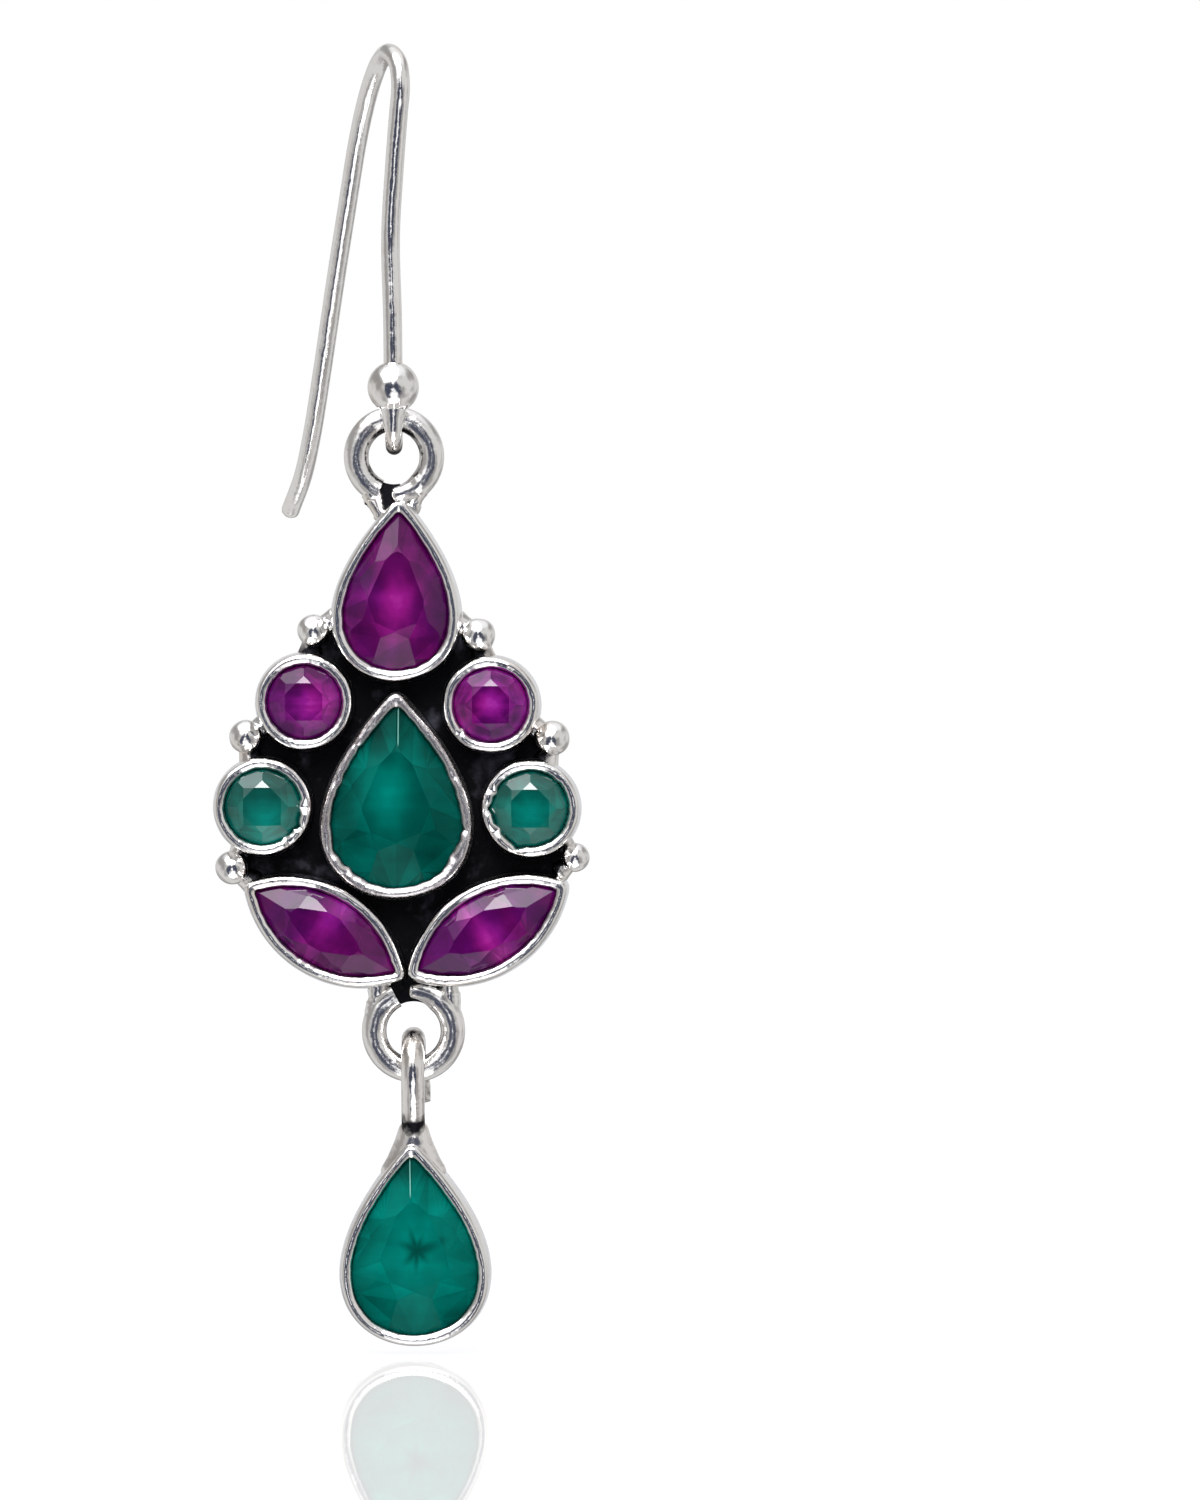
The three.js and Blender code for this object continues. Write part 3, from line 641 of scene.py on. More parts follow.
def bezel(bm, name, wobble, nicks=(), recess=True):
    cut, width, length, turn, _ = STONES[name]
    x, table, z = places[name]
    rng = np.random.default_rng(sum(map(ord, name)))
    girdle = table - GIRDLE_TO_TABLE
    back = girdle - BEZEL_DEPTH
    rim = girdle + RIM_RISE
    blunt = 12 if cut == "pear" else 2
    side = slow_wobble(rng, BEZEL_ROUND, wobble)
    lift = slow_wobble(rng, BEZEL_ROUND, wobble)
    edge = slow_wobble(rng, BEZEL_ROUND, wobble, 40)
    around = np.arange(BEZEL_ROUND) / BEZEL_ROUND
    for share, span, depth in nicks:
        away = np.minimum(np.abs(around - share), 1 - np.abs(around - share))
        edge = edge + depth * np.clip(1 - away / span, 0, 1)
        lift = lift - 0.7 * abs(depth) * np.clip(1 - away / span, 0, 1)
    # Profile rows: grow, height, softening, share of the wobble, darkness. The darkness at the foot is
    # patina in the recess; under the rim's inner edge it is painted shade in the gap against the stone.
    profile = ((WALL + DRAFT - 0.05, back, 6, 0, 0), (WALL + DRAFT, back + 0.06, 6, 0, 0),
               (WALL + DRAFT, back + 0.9, 6, 0, 1), (WALL + 0.09, back + 1.25, 6, 0, 0.8),
               (WALL + 0.06, back + 1.6, 6, 0.3, 0.25), (WALL + 0.02, girdle - 0.05, 5, 0.8, 0),
               (WALL, girdle + 0.12, 5, 1, 0), (WALL - 0.03, rim - 0.13, 5, 1, 0),
               (WALL - 0.09, rim - 0.035, 5, 1, 0), (WALL - 0.17, rim, 4, 1, 0),
               (WALL - 0.27, rim - 0.01, 3, 1, 0), (-0.03, rim - 0.05, blunt // 2, 1, 0),
               (-0.11, rim - 0.11, blunt, 1, 0.5), (-0.14, rim - 0.19, blunt, 1, 1),
               (-0.10, rim - 0.27, blunt, 1, 1), (0.03, girdle + 0.04, 1, 0, 1),
               (-0.2, girdle - 0.4, 1, 0, 1), (-0.3, back + 0.9, 1, 0, 1))
    plate = plate_outline()
    rings, darks = [], []
    for grow, height, soft, follows, dark in profile:
        flat = softened(resampled(parallel(cut, width, length, grow), BEZEL_ROUND), soft)
        ahead = np.roll(flat, -1, 0) - np.roll(flat, 1, 0)
        outwards = np.stack([-ahead[:, 1], ahead[:, 0]], 1) / np.linalg.norm(ahead, axis=1)[:, None]
        inner = edge if grow < WALL - 0.2 else side
        flat = flat + outwards * (inner * follows)[:, None]
        flat = turned_by(flat, turn) + (x, z)
        y = PLANE / MM - height - lift * (follows if height > girdle else 0)
        rings.append(np.stack([flat[:, 0], np.broadcast_to(y, BEZEL_ROUND), flat[:, 1]], 1))
        if grow >= WALL - 0.1 and recess:
            near = softened(is_inside(flat, plate).astype(float)[:, None], 6)[:, 0]
            darks.append(dark * near)
        else:
            darks.append(np.full(BEZEL_ROUND, float(dark) if grow < WALL else 0.0))
    skin(bm, np.array(rings) * MM, np.array(darks))


NICKS = {
    "centre_pear_stone": ((0.19, 0.012, -0.09), (0.30, 0.01, 0.08), (0.36, 0.04, -0.16), (0.61, 0.01, -0.1),
                          (0.66, 0.02, 0.1), (0.80, 0.015, -0.08), (0.88, 0.01, 0.07)),
    "left_lower_round_stone": ((0.25, 0.03, -0.2), (0.33, 0.02, 0.14), (0.40, 0.02, -0.12)),
    "right_lower_round_stone": ((0.55, 0.03, 0.14), (0.66, 0.03, -0.18), (0.75, 0.025, 0.16),
                                (0.82, 0.02, -0.14)),
    "right_upper_round_stone": ((0.63, 0.015, -0.1),),
    "left_marquise_stone": ((0.5, 0.03, 0.05),),
}
for name in STONES:
    if name == "drop_stone":
        continue
    bezel_bm = new_bmesh()
    is_centre = name == "centre_pear_stone"
    bezel(bezel_bm, name, CENTRE_WOBBLE if is_centre else WOBBLE, NICKS.get(name, ()))
    finish = hammered_silver if is_centre else silver
    add_piece(name.replace("stone", "bezel"), bezel_bm, finish, "cluster", "cluster_setting")

# %% [markdown]
# The back plate is sheet silver sawn to the outline of the settings. It fills the gaps
# between them, and from the front only its blackened floor shows.

# %% Back plate
BACK_INSET = 0.01
plate_bm = new_bmesh()
patina_layer = plate_bm.verts.layers.float["patina"]
outline = plate_outline()
front = [plate_bm.verts.new((x * MM, PLANE - PLATE_FRONT * MM, z * MM)) for x, z in outline]
back = [plate_bm.verts.new((x * MM, PLANE - (PLATE_BACK + BACK_INSET) * MM, z * MM)) for x, z in outline]
for vert in front:
    vert[patina_layer] = 1.0
plate_bm.faces.new(front)
plate_bm.faces.new(back[::-1])
for i in range(len(front)):
    j = (i + 1) % len(front)
    plate_bm.faces.new((front[i], back[i], back[j], front[j]))
add_piece("back_plate", plate_bm, oxidised, "cluster", "cluster_setting", smooth=False)

# %% [markdown]
# Grains are scraps of silver melted until they draw up into balls. They sit in the notches
# between the settings, held by a little solder that flows up round their feet.

# %% Grains
LUMP_WAVES = 5
GRAIN_ROUGH = 0.012
GRAIN_LIFT = 0.25
FOOT_BACK = 0.5
FOOT_STEPS = 12
RUN_SIDES = 20


def lump(bm, centre, radius, rng, rough):
    """A rounded lump of silver in mm, slightly uneven."""
    made = bmesh.ops.create_icosphere(bm, subdivisions=4, radius=1.0)["verts"]
    waves = rng.normal(size=(LUMP_WAVES, 3)) * 2.2
    phases = rng.uniform(0, 6.3, LUMP_WAVES)
    for vert in made:
        direction = np.array(vert.co)
        swell = 1 + rough * np.sin(waves @ direction + phases).sum()
        vert.co = Vector(np.array(centre) + direction * swell * radius) * MM


rng = np.random.default_rng(7)
grain_bm = new_bmesh()
GRAIN_NEIGHBOURS = (("top_pear_stone", "left_upper_round_stone"),
                    ("top_pear_stone", "right_upper_round_stone"),
                    ("left_upper_round_stone", "left_lower_round_stone"),
                    ("right_upper_round_stone", "right_lower_round_stone"),
                    ("left_lower_round_stone", "left_marquise_stone"),
                    ("right_lower_round_stone", "right_marquise_stone"))
grain_y = PLANE / MM - PLATE_FRONT - GRAIN_LIFT
for (x, z, size), neighbours in zip(grains, GRAIN_NEIGHBOURS):
    radius = GRAIN_DIAMETER * size / 2
    lump(grain_bm, (x, grain_y, z), radius, rng, GRAIN_ROUGH)
    for neighbour in neighbours:
        foot = np.array([x, grain_y + FOOT_BACK, z])
        towards = np.array([places[neighbour][0] - x, 0, places[neighbour][2] - z])
        towards /= np.linalg.norm(towards)
        share = np.linspace(0.2, 1.42, FOOT_STEPS)[:, None]
        thick = radius * (0.58 + 0.12 * share[:, 0] ** 2)
        wire(grain_bm, (foot + towards * share * radius) * MM, thick * MM, sides=RUN_SIDES)


def shaded_from_centre(at):
    """Painted shade: dark on the side of a grain that looks into the recess, and darker towards the back."""
    inwards = np.array([centre_x - at[0], 0, centre_z - 1 - at[2]])
    nearest = min(grains, key=lambda grain: math.hypot(grain[0] - at[0], grain[1] - at[2]))
    side = np.array([at[0] - nearest[0], 0, at[2] - nearest[1]])
    return side @ inwards / np.linalg.norm(inwards) * 1.3 - 0.12 + (at[1] - grain_y) * 0.6


set_patina_and_shade(grain_bm, shaded_from_centre)
add_piece("grains", grain_bm, silver, "cluster", "cluster_setting")

# %% [markdown]
# The two rings are bent from thicker wire, cut, and soldered on with their gap towards the
# settings. One end of each was snipped straight and the other drawn thin. Their insides carry
# a painted warm reflection, and are tarnished and duller where a polishing wheel doesn't reach.


# %% Rings
RING_STEPS = 120
RING_SPREAD = 26
UPPER_OPENING = 260
LOWER_OPENING = 104


def open_ring(bm, centre, hole, opening, spread, thin_end):
    """Goes round from the thin end; thin_end is 1 where that end lies counter-clockwise of the gap."""
    radius = (hole + RING_WIRE) / 2
    turn = np.linspace(spread / 2, 360 - spread / 2, RING_STEPS)
    angles = np.radians(opening + thin_end * turn)
    path = np.stack([centre[0] + radius * np.cos(angles), np.full(RING_STEPS, PLANE / MM),
                     centre[1] + radius * np.sin(angles)], 1)
    thin = 1 - 0.35 * np.clip(1 - np.arange(RING_STEPS) / 14, 0, 1)
    wire(bm, path * MM, RING_WIRE / 2 * MM * thin, round_ends=(True, False))


# Painted warm reflection with tarnish, strongest at the ring's inner edge.
def reflection_and_tarnish_inside(centre, hole):
    return lambda at: 0.55 - 2.2 * (math.hypot(at[0] - centre[0], at[2] - centre[1]) - hole / 2)


for name, centre, hole, opening, thin_end in (
        ("upper_ring", upper_ring, UPPER_HOLE, UPPER_OPENING, 1),
        ("lower_ring", lower_ring, LOWER_HOLE, LOWER_OPENING, -1)):
    ring_bm = new_bmesh()
    open_ring(ring_bm, centre, hole, opening, RING_SPREAD, thin_end)
    set_patina_and_shade(ring_bm, reflection_and_tarnish_inside(centre, hole))
    add_piece(name, ring_bm, rough_silver, "cluster", "cluster_setting")

# %% [markdown]
# Solder runs into every notch between ring and settings. Each run is a short tapered wire
# that starts inside the ring and ends inside a bezel. Behind each gap stands a black sheet;
# behind the lower ring it is a painted shadow under the marquises, and the solder there is
# painted dark with it.


# %% Solder round the rings
RUN_STEPS = 14
SHEET_BEHIND = 0.40
SHEET_BEFORE = -0.12


def solder_run(bm, start, end, thick, thin, rng):
    """A tapered, uneven run of solder between two places, given in mm."""
    share = np.linspace(0, 1, RUN_STEPS)[:, None]
    path = np.array(start) * (1 - share) + np.array(end) * share
    uneven = 1 + 0.10 * np.sin(share[:, 0] * 9 + rng.uniform(0, 6)) + 0.04 * rng.normal(size=RUN_STEPS)
    wire(bm, path * MM, (thick + (thin - thick) * share[:, 0]) * uneven * MM, sides=RUN_SIDES)


def ring_point(centre, hole, degrees, reach=None):
    radius = (hole + RING_WIRE) / 2 if reach is None else reach
    angle = math.radians(degrees)
    return np.array([centre[0] + radius * math.cos(angle), PLANE / MM, centre[1] + radius * math.sin(angle)])


def black_sheet(bm, centre, hole, opening, spread, depth):
    """A black sheet behind a gap, from the ring's inner edge outwards."""
    angles = np.linspace(opening - spread, opening + spread, 13)
    inner = [ring_point(centre, hole, angle, hole / 2 + 0.10) for angle in angles]
    outer = [ring_point(centre, hole, angle, hole / 2 + depth) for angle in angles[::-1]]
    outline = np.array(inner + outer)
    skin(bm, np.array([outline + (0, SHEET_BEHIND, 0), outline + (0, SHEET_BEFORE, 0)]) * MM, 1.0)


solder_bm = new_bmesh()
upper_left = ring_point(upper_ring, UPPER_HOLE, 226)
upper_right = ring_point(upper_ring, UPPER_HOLE, 312)
solder_run(solder_bm, upper_left, upper_left + (0.55, 0.0, -1.35), 0.50, 0.30, rng)
solder_run(solder_bm, upper_right, upper_right + (-0.3, 0.15, -1.15), 0.46, 0.26, rng)
shoulders = ((ring_point(lower_ring, LOWER_HOLE, 168), 1), (ring_point(lower_ring, LOWER_HOLE, 12), -1))
for place, side in shoulders:
    solder_run(solder_bm, place, place + (side * 0.14, 0.1, 1.55), 0.47, 0.42, rng)
for place, side in shoulders:
    solder_run(solder_bm, place + (side * 0.4, 0.0, 1.1), place + (side * 1.1, 0.05, 1.6), 0.36, 0.3, rng)


def shade_under_marquises(at):
    """Painted shadow: dark under the marquises, strongest near the middle; warm elsewhere."""
    aside = abs(at[0] - lower_ring[0])
    return 1.75 - aside * 1.1 if at[2] < places["centre_pear_stone"][2] else 0.3


set_patina_and_shade(solder_bm, shade_under_marquises)
black_sheet(solder_bm, upper_ring, UPPER_HOLE, UPPER_OPENING, 22, 1.3)
# Painted shadow: the black sheet behind the lower ring fills the shade under the marquises.
black_sheet(solder_bm, lower_ring, LOWER_HOLE, 97, 40, 1.9)
add_piece("solder", solder_bm, rough_silver, "cluster", "cluster_setting")

# %% [markdown]
# The drop hangs by a bail: wire bent over the lower ring and soldered on the bezel's tip. Its
# other end is cut off behind. Below it a shoulder spreads out, flatter towards the bottom.

# %% Hanging drop
BAIL_LENGTH = 3.65
BAIL_FORWARD = 0.25
BAIL_DARK_BAND = 0.98
BAIL_WEAR = 0.16
SHOULDER = 0.95
drop_zero = np.array([drop_pivot.x / MM, PLANE / MM, drop_pivot.z / MM - BAIL_RADIUS])
bail_foot = drop_zero + (0, -BAIL_FORWARD, -(BAIL_LENGTH - BAIL_RADIUS) - SHOULDER / 2)
over = np.radians(np.linspace(190, -10, 9))
bail_path = [bail_foot, *(drop_zero + BAIL_RADIUS * np.array([0, math.cos(a), math.sin(a)]) for a in over),
             drop_zero + (0.17, BAIL_RADIUS - 0.02, -0.6), drop_zero + (0.20, BAIL_RADIUS - 0.2, -1.36)]
drop_bm = new_bmesh()
wire(drop_bm, spline(bail_path, 120) * MM, BAIL_WIRE / 2 * MM, round_ends=(False, False))
tip = drop_zero[2] - (BAIL_LENGTH - BAIL_RADIUS) - SHOULDER


def bail_darkening(at):
    """Darker in a band where the bail enters the solder, at the cut end behind and over the top; a little
    warm all over.
    """
    low = max(0, 1 - abs(at[2] - (tip + BAIL_DARK_BAND)) / 0.9) * 0.52
    behind = 0.26 * (at[1] > PLANE / MM + 0.5) * (at[2] < drop_zero[2])
    under = 0.26 * (at[2] > drop_zero[2] + 0.5)
    return BAIL_WEAR + low + behind + under


set_patina_and_shade(drop_bm, bail_darkening)
bezel(drop_bm, "drop_stone", DROP_WOBBLE, recess=False)
drop_piece = add_piece("drop_bezel_and_bail", drop_bm, silver, "drop", "drop_setting")
drop_bottom = min(vert.co.z for vert in drop_piece.data.vertices)

SHOULDER_BACK = -0.12
SHOULDER_FLAT = 0.45
FLAT_BELOW = 0.9
FLAT_OVER = 1.8
SHOULDER_PATINA = 0.3
shoulder_profile = [(0.7, -1.35), (1.36, -1.15), (1.40, -1.0), (1.33, -0.8), (1.22, -0.62), (1.09, -0.38),
                    (0.98, -0.12), (0.88, 0.1), (0.79, 0.32), (0.72, 0.52), (0.66, 0.72), (0.60, 0.88),
                    (0.53, 0.98), (0.4, 1.02)]
shoulder_bm = new_bmesh()
turned(shoulder_bm, Vector((drop_zero[0], PLANE / MM + SHOULDER_BACK, tip)) * MM, shoulder_profile,
       SHOULDER_PATINA)
for vert in shoulder_bm.verts:
    height = min(1, max(0, (vert.co.z / MM - tip + FLAT_BELOW) / FLAT_OVER))
    flat = SHOULDER_FLAT + (1 - SHOULDER_FLAT) * height
    vert.co.y = PLANE + SHOULDER_BACK * MM + (vert.co.y - PLANE - SHOULDER_BACK * MM) * flat
drop_rim = places["drop_stone"][1] - GIRDLE_TO_TABLE + RIM_RISE
print("rim of the drop's bezel stands", round(drop_rim, 2), "mm before the plane")
add_piece("drop_shoulder", shoulder_bm, rough_silver, "drop", "drop_setting")

# %% [markdown]
# Each stone is cut as a lapidary cuts it: from a blank with the girdle's outline, every facet
# is one flat slice. A facet is given by the direction it faces, the height where it meets the
# girdle and how far in it reaches the table. This keeps every facet truly flat.

# %% Cutting the stones
GIRDLE = 0.16
CROWN = 0.7
PAVILION = 0.9
BLANK_POINTS = 96
SLICE_TOLERANCE = 1e-5
GIRDLE_STEP = 0.02
BREAK_SHARE = 0.72
STAR_RISE = 0.45
STAR_SHARE = 0.93


def slice_off(bm, point, normal):
    result = bmesh.ops.bisect_plane(bm, geom=bm.verts[:] + bm.edges[:] + bm.faces[:], dist=SLICE_TOLERANCE,
                                    plane_co=point, plane_no=normal, clear_outer=True)
    rim = [item for item in result["geom_cut"] if isinstance(item, bmesh.types.BMEdge) and item.is_boundary]
    if rim:
        bmesh.ops.holes_fill(bm, edges=rim, sides=0)


def cut_stone(name, material, table_share=0.5):
    """Rounds are turned by half a step, so that a small star facet points straight up."""
    cut, width, length, turn, _ = STONES[name]
    x, table, z = places[name]
    blank = resampled(OUTLINES[cut](width, length), BLANK_POINTS)
    bm = bmesh.new()
    back_face = bm.faces.new([bm.verts.new((px, -PAVILION, pz)) for px, pz in blank])
    raised = bmesh.ops.extrude_face_region(bm, geom=[back_face])["geom"]
    bmesh.ops.translate(bm, verts=[v for v in raised if isinstance(v, bmesh.types.BMVert)],
                        vec=(0, PAVILION + GIRDLE + CROWN, 0))
    bmesh.ops.recalc_face_normals(bm, faces=bm.faces)

    def facet(degrees, rise, share, top):
        """A crown facet that leaves the girdle at rise and reaches height top at a share of the way in."""
        angle = math.radians(degrees)
        facing = np.array([math.sin(angle), math.cos(angle)])
        reach = (blank @ facing).max()
        slope = np.array([(top - rise), reach * (1 - share)])
        normal = Vector((facing[0] * slope[0], slope[1], facing[1] * slope[0])).normalized()
        slice_off(bm, (facing[0] * reach, rise, facing[1] * reach), normal)

    def pavilion_facet(degrees):
        angle = math.radians(degrees)
        facing = np.array([math.sin(angle), math.cos(angle)])
        reach = (blank @ facing).max()
        normal = Vector((facing[0] * PAVILION, -reach * 0.95, facing[1] * PAVILION)).normalized()
        slice_off(bm, (facing[0] * reach, 0, facing[1] * reach), normal)

    phase = 22.5 if cut == "round" else 0
    for k in range(8):
        pavilion_facet(45 * k + 22.5)
        facet(45 * k + phase, GIRDLE + GIRDLE_STEP, table_share, GIRDLE + CROWN)
    for k in range(16):
        facet(22.5 * k + 11.25, GIRDLE, BREAK_SHARE, GIRDLE + CROWN * BREAK_SHARE)
    for k in range(8):
        facet(45 * k + 22.5 + phase, GIRDLE + CROWN * STAR_RISE, table_share * STAR_SHARE, GIRDLE + CROWN)
    bmesh.ops.recalc_face_normals(bm, faces=bm.faces)
    bmesh.ops.triangulate(bm, faces=[f for f in bm.faces if len(f.verts) > 4])
    inner = bm.verts.layers.float_vector.new("inner")
    for vert in bm.verts:
        vert[inner] = Vector((vert.co.x / width * 2, vert.co.z / length * 2, vert.co.y / CROWN))
    girdle_back = PLANE / MM - (table - GIRDLE_TO_TABLE - GIRDLE)
    matrix = (Matrix.Scale(MM, 4) @ Matrix.Translation((x, girdle_back, z))
              @ Matrix.Rotation(-math.radians(turn), 4, "Y") @ Matrix.Diagonal((1, -1, 1, 1)))
    bmesh.ops.transform(bm, matrix=matrix, verts=bm.verts)
    body = "drop" if name == "drop_stone" else "cluster"
    return add_piece(name + "_cut", bm, material, body, name, smooth=False)


# Stone colours from dark to bright: the dark end is the stone in painted shade and the bright end its
# painted inner glow.
PURPLES = ((0.0, (0.010, 0.0, 0.013)), (0.30, (0.048, 0.001, 0.053)), (0.55, (0.122, 0.004, 0.118)),
           (0.85, (0.27, 0.026, 0.26)))
GREENS = ((0.0, (0.0, 0.014, 0.011)), (0.30, (0.0, 0.044, 0.035)), (0.55, (0.0, 0.086, 0.069)),
          (0.85, (0.0, 0.170, 0.140)))


def stone_material(name, colour, seed, glow_at=(0.0, 0.0), glow_size=0.8, star=0.0, cloudy=0.6, ring=0.0,
                   shine=0.35, ridge=0.0, blush=0.0):
    """A cloudy stone: what shows through its crown is painted, as a painted inner glow and painted facet
    reflections with a painted star, ring and ridge highlight, worked out from the place and slope of each
    facet.
    """
    material, shader, shade = new_material(name, Roughness=0.05, IOR=1.5, Specular_IOR_Level=shine)
    place = attribute(shade, "inner", "Vector")
    facing = shade.node("ShaderNodeTexCoord", None, None, "Normal")
    facing_x = shade.node("ShaderNodeSeparateXYZ", None, {0: facing}, "X")
    facing_z = shade.node("ShaderNodeSeparateXYZ", None, {0: facing}, "Z")
    attribute_x = shade.node("ShaderNodeSeparateXYZ", None, {0: place}, "X")
    attribute_z = shade.node("ShaderNodeSeparateXYZ", None, {0: place}, "Y")
    inner_x = attribute_x - facing_x * 0.4
    inner_z = attribute_z - facing_z * 0.4
    seen = shade.node("ShaderNodeCombineXYZ", None, {0: inner_x, 1: inner_z, 2: seed})
    off_x = inner_x - glow_at[0]
    off_z = inner_z - glow_at[1]
    radius = (off_x * off_x + off_z * off_z).power(0.5)
    angle = shade.maths("ARCTAN2", off_x, off_z)
    ray = shade.maths("SINE", angle * 5 + seed) * 0.5 + shade.maths("SINE", angle * 8 + seed * 2) * 0.5
    # Painted reflections: each facet gets its own brightness from the way it faces.
    facet_light = shade.node("ShaderNodeTexWhiteNoise", {"noise_dimensions": "3D"}, {"Vector": facing})
    cloud = noise(shade, seen, 0.8, 5.0, 0.62)
    streaks = shade.node("ShaderNodeCombineXYZ", None, {0: inner_x * 0.4, 1: inner_z * 3.5, 2: seed + 5})
    streak = noise(shade, streaks, 0.5, 4.0)
    # Painted inner glow round glow_at, with painted rays and a painted lighter lower part; the cloud and
    # streaks are the stone's own uneven tone.
    glow = 1 - radius.step(0.0, glow_size)
    value = (0.25 + glow * 0.38 + (facet_light - 0.5) * 0.16 + ray * radius.step(0.1, 0.5) * 0.05
             + (inner_z * -1).step(0.45, 1.0) * 0.14 + (cloud - 0.5) * cloudy + (streak - 0.5) * 0.22)
    # A painted bright ring round the glow.
    if ring:
        value = value + ring * radius.step(0.42, 0.60) * (1 - radius.step(0.66, 0.85))
    # A painted dark star, as the pavilion shows it in the middle of the stone.
    if star:
        flat_radius = (off_x * off_x + off_z * off_z * 2.2).power(0.5)
        arms = 1 - (flat_radius * (3.9 + 1.0 * shade.maths("SINE", angle * 7 + 1.2)
                                   + 0.6 * shade.maths("SINE", angle * 3 + 0.4))).step(0.0, 1.15)
        value = value - arms * star
    # Painted shade over the upper part and a painted highlight line along the ridge.
    if ridge:
        ridge_highlight = 1 - shade.maths("ABSOLUTE", attribute_x - ridge).step(0.003, 0.012)
        value = value - attribute_z.step(0.45, 0.95) * 0.16
        on_ridge = attribute_z.step(0.50, 0.56) * (1 - attribute_z.step(0.90, 0.96))
    base = value.ramp(*colour)
    # The painted ridge highlight is mixed in as a pale green line.
    if ridge:
        base = (ridge_highlight * on_ridge * 0.5).mix(base, (0.20, 0.50, 0.44, 1))
    if blush:
        warmer = [(place, (red * 1.2, green, blue * 0.85)) for place, (red, green, blue) in colour]
        patch = noise(shade, seen, 0.9, 3.0).step(0.42, 0.62)
        base = (patch * blush).mix(base, value.ramp(*warmer))
    feed(shader, shade, Base_Color=base)
    return material


# Each stone's painted glow: where it sits and how wide; then its painted star, ring and ridge highlight, its
# own cloudiness, and its shine.
LOOKS = {
    "top_pear_stone": dict(seed=3.1, glow_at=(0.05, -0.15), glow_size=0.55),
    "left_upper_round_stone": dict(seed=8.4, glow_at=(0.15, -0.1), glow_size=0.75),
    "right_upper_round_stone": dict(seed=6.7, glow_size=0.6, ring=0.22),
    "centre_pear_stone": dict(seed=5.5, glow_at=(-0.12, 0.0), glow_size=0.6, cloudy=0.4, shine=0.06,
                              ridge=0.03),
    "left_lower_round_stone": dict(seed=9.9, glow_at=(0.0, -0.4), glow_size=1.0, cloudy=0.4, shine=0.6),
    "right_lower_round_stone": dict(seed=1.8, glow_at=(0.0, -0.15), glow_size=0.9, cloudy=0.4, shine=0.6),
    "left_marquise_stone": dict(seed=2.2, glow_at=(-0.1, 0.25), glow_size=0.7),
    "right_marquise_stone": dict(seed=7.3, glow_at=(-0.1, -0.1), glow_size=0.6),
    "drop_stone": dict(seed=4.6, glow_at=(0.05, -0.05), glow_size=1.1, star=0.42, cloudy=0.4,
                       shine=0.04, ridge=-0.03),
}
for name, look in LOOKS.items():
    colour = PURPLES if STONES[name][4] == "purple" else GREENS
    blush = 0.7 if STONES[name][4] == "purple" else 0.0
    made = cut_stone(name, stone_material(name.replace("stone", "look"), colour, blush=blush, **look))
    print(name, len(made.data.polygons), "faces")

# %% [markdown]
# Jewellery is pictured inside a tent of white cloth, because polished silver shows all that
# stands round it. The world plays the tent: a bright roof, grey sides, and a dark gap in
# front with the lens in it, which gives the silver its blue-black streaks. What the camera sees
# directly is plain white, so that the picture stays clean behind the piece.

# %% Light tent
world = bpy.data.worlds.new("light_tent")
bpy.context.scene.world = world
world.use_nodes = True
tent = Socket(world.node_tree)
direction = tent.node("ShaderNodeTexCoord", None, None, "Generated")
across = tent.node("ShaderNodeSeparateXYZ", None, {0: direction}, "X")
backwards = tent.node("ShaderNodeSeparateXYZ", None, {0: direction}, "Y")
upwards = tent.node("ShaderNodeSeparateXYZ", None, {0: direction}, "Z")
folds = noise(tent, direction, 0.16, 4.0)
panels = noise(tent, direction, 0.8, 1.0).step(0.38, 0.62)
cloth = panels.mix((0.33, 0.32, 0.315, 1), (0.68, 0.67, 0.66, 1))
low_share = (upwards + 0.28) / 0.68
side_share = across / 0.60
inside_gap = 1 - low_share * low_share - side_share * side_share + (folds - 0.5) * 1.1
in_front = (backwards * -1).step(0.25, 0.45)
lens_cloud = noise(tent, direction, 0.07, 2.0).step(0.3, 0.75)
lens_side = lens_cloud.mix((0.02, 0.025, 0.045, 1), (0.12, 0.13, 0.18, 1))
sides = (inside_gap.step(0.02, 0.18) * in_front).mix(cloth, lens_side)
aside = tent.maths("ABSOLUTE", across) + (folds - 0.5) * 0.10
card = ((upwards - 0.05) * 0.5 - aside).step(0.0, 0.03)
low_card = (0.12 - aside).step(0.0, 0.03) * upwards.step(-0.06, -0.09) * upwards.step(-0.35, -0.30)
sides = ((card + low_card) * in_front).mix(sides, (1.15, 1.15, 1.18, 1))
roof = upwards.step(0.60, 0.90)
shell = roof.mix(sides, (0.95, 0.95, 0.97, 1))


def lamp(shell, towards, spread, colour):
    """A soft round light on the tent, centred on a direction."""
    aim = Vector(towards).normalized()
    closeness = tent.node("ShaderNodeVectorMath", {"operation": "DOT_PRODUCT"},
                          {0: direction, 1: tuple(aim)}, "Value")
    edge = math.cos(math.radians(spread))
    return closeness.step(edge - 0.06, edge + 0.03).mix(shell, colour)


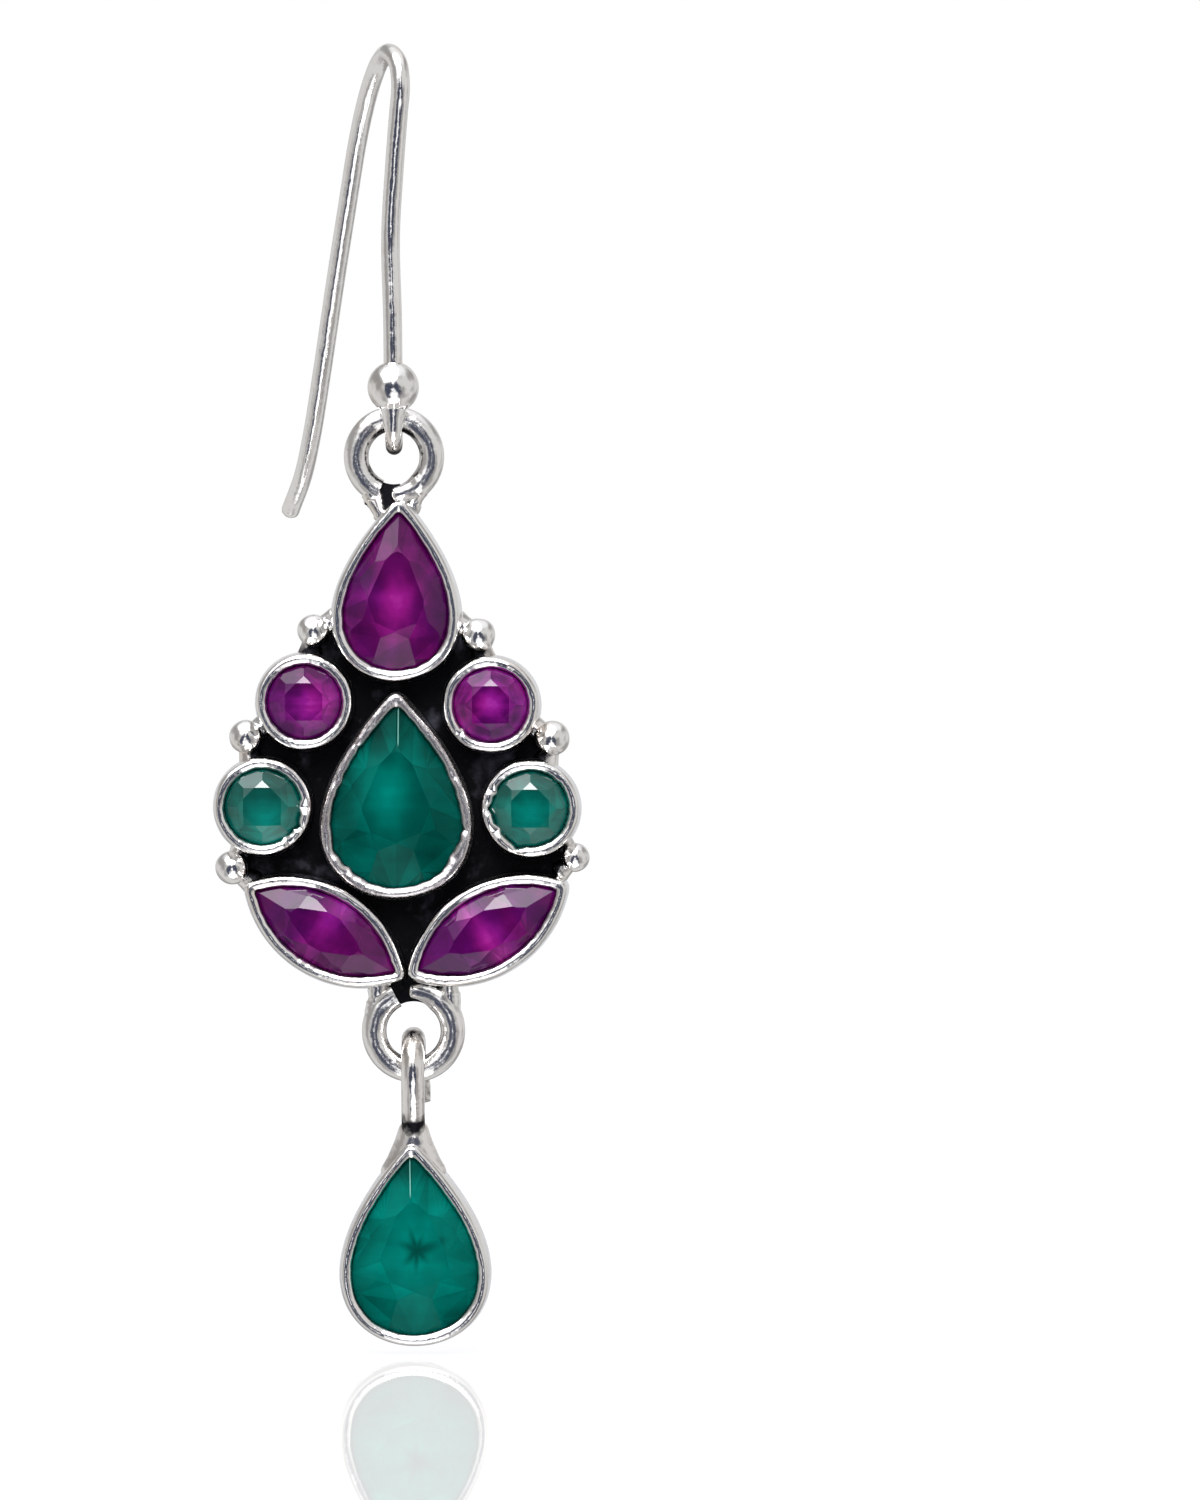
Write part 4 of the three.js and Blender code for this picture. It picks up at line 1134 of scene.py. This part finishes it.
light = lamp(shell, (-0.24, -0.36, 0.90), 27, (4.4, 4.4, 4.5, 1))
light = lamp(light, (-0.38, -0.78, 0.50), 9, (1.6, 1.6, 1.65, 1))
light = lamp(light, (0.06, -0.80, -0.60), 10, (1.8, 1.8, 1.8, 1))
light = lamp(light, (0.05, -0.42, -0.90), 18, (2.0, 2.0, 2.0, 1))
light = lamp(light, (-0.03, -0.70, 0.71), 7, (22, 22, 22, 1))
behind = backwards.step(0.965, 0.985)
light = behind.mix(light, (0.72, 0.73, 0.76, 1))
seen = tent.node("ShaderNodeLightPath", None, None, "Is Camera Ray")
background = world.node_tree.nodes["Background"]
world.node_tree.links.new(seen.mix(light, (1, 1, 1, 1)).output, background.inputs["Color"])

# %% [markdown]
# The floor is white acrylic just under the drop. It glows as white as the tent and mirrors
# about half of what stands over it, so the drop has a faint twin below.

# %% Floor
FLOOR_GAP = 0.3
FLOOR_SIZE = 2
FLOOR_GLOW = 1.16
MIRROR_SHARE = 0.5
bpy.ops.mesh.primitive_plane_add(size=FLOOR_SIZE, location=(0, 0, drop_bottom - FLOOR_GAP * MM))
floor = bpy.context.object
floor.name = "white_floor"
floor.visible_glossy = False
floor_material, floor_shader, floor_shade = new_material("white_acrylic", Roughness=0.5)
floor_shader.inputs["Base Color"].default_value = (0.12, 0.12, 0.12, 1)
floor_shader.inputs["Specular IOR Level"].default_value = 0.0
mirror = floor_shade.node("ShaderNodeBsdfGlossy", None, {"Roughness": 0.02, "Color": (1, 1, 1, 1)})
glow = floor_shade.node("ShaderNodeEmission", None, {"Color": (1, 1, 1, 1), "Strength": FLOOR_GLOW})
soft = floor_shade.node("ShaderNodeAddShader", None,
                        {0: Socket(floor_material.node_tree, floor_shader.outputs[0]), 1: glow})
surface = floor_shade.node("ShaderNodeMixShader", None, {0: MIRROR_SHARE, 1: soft, 2: mirror})
floor_shade.tree.links.new(surface.output, floor_material.node_tree.nodes["Material Output"].inputs[0])
floor.data.materials.append(floor_material)
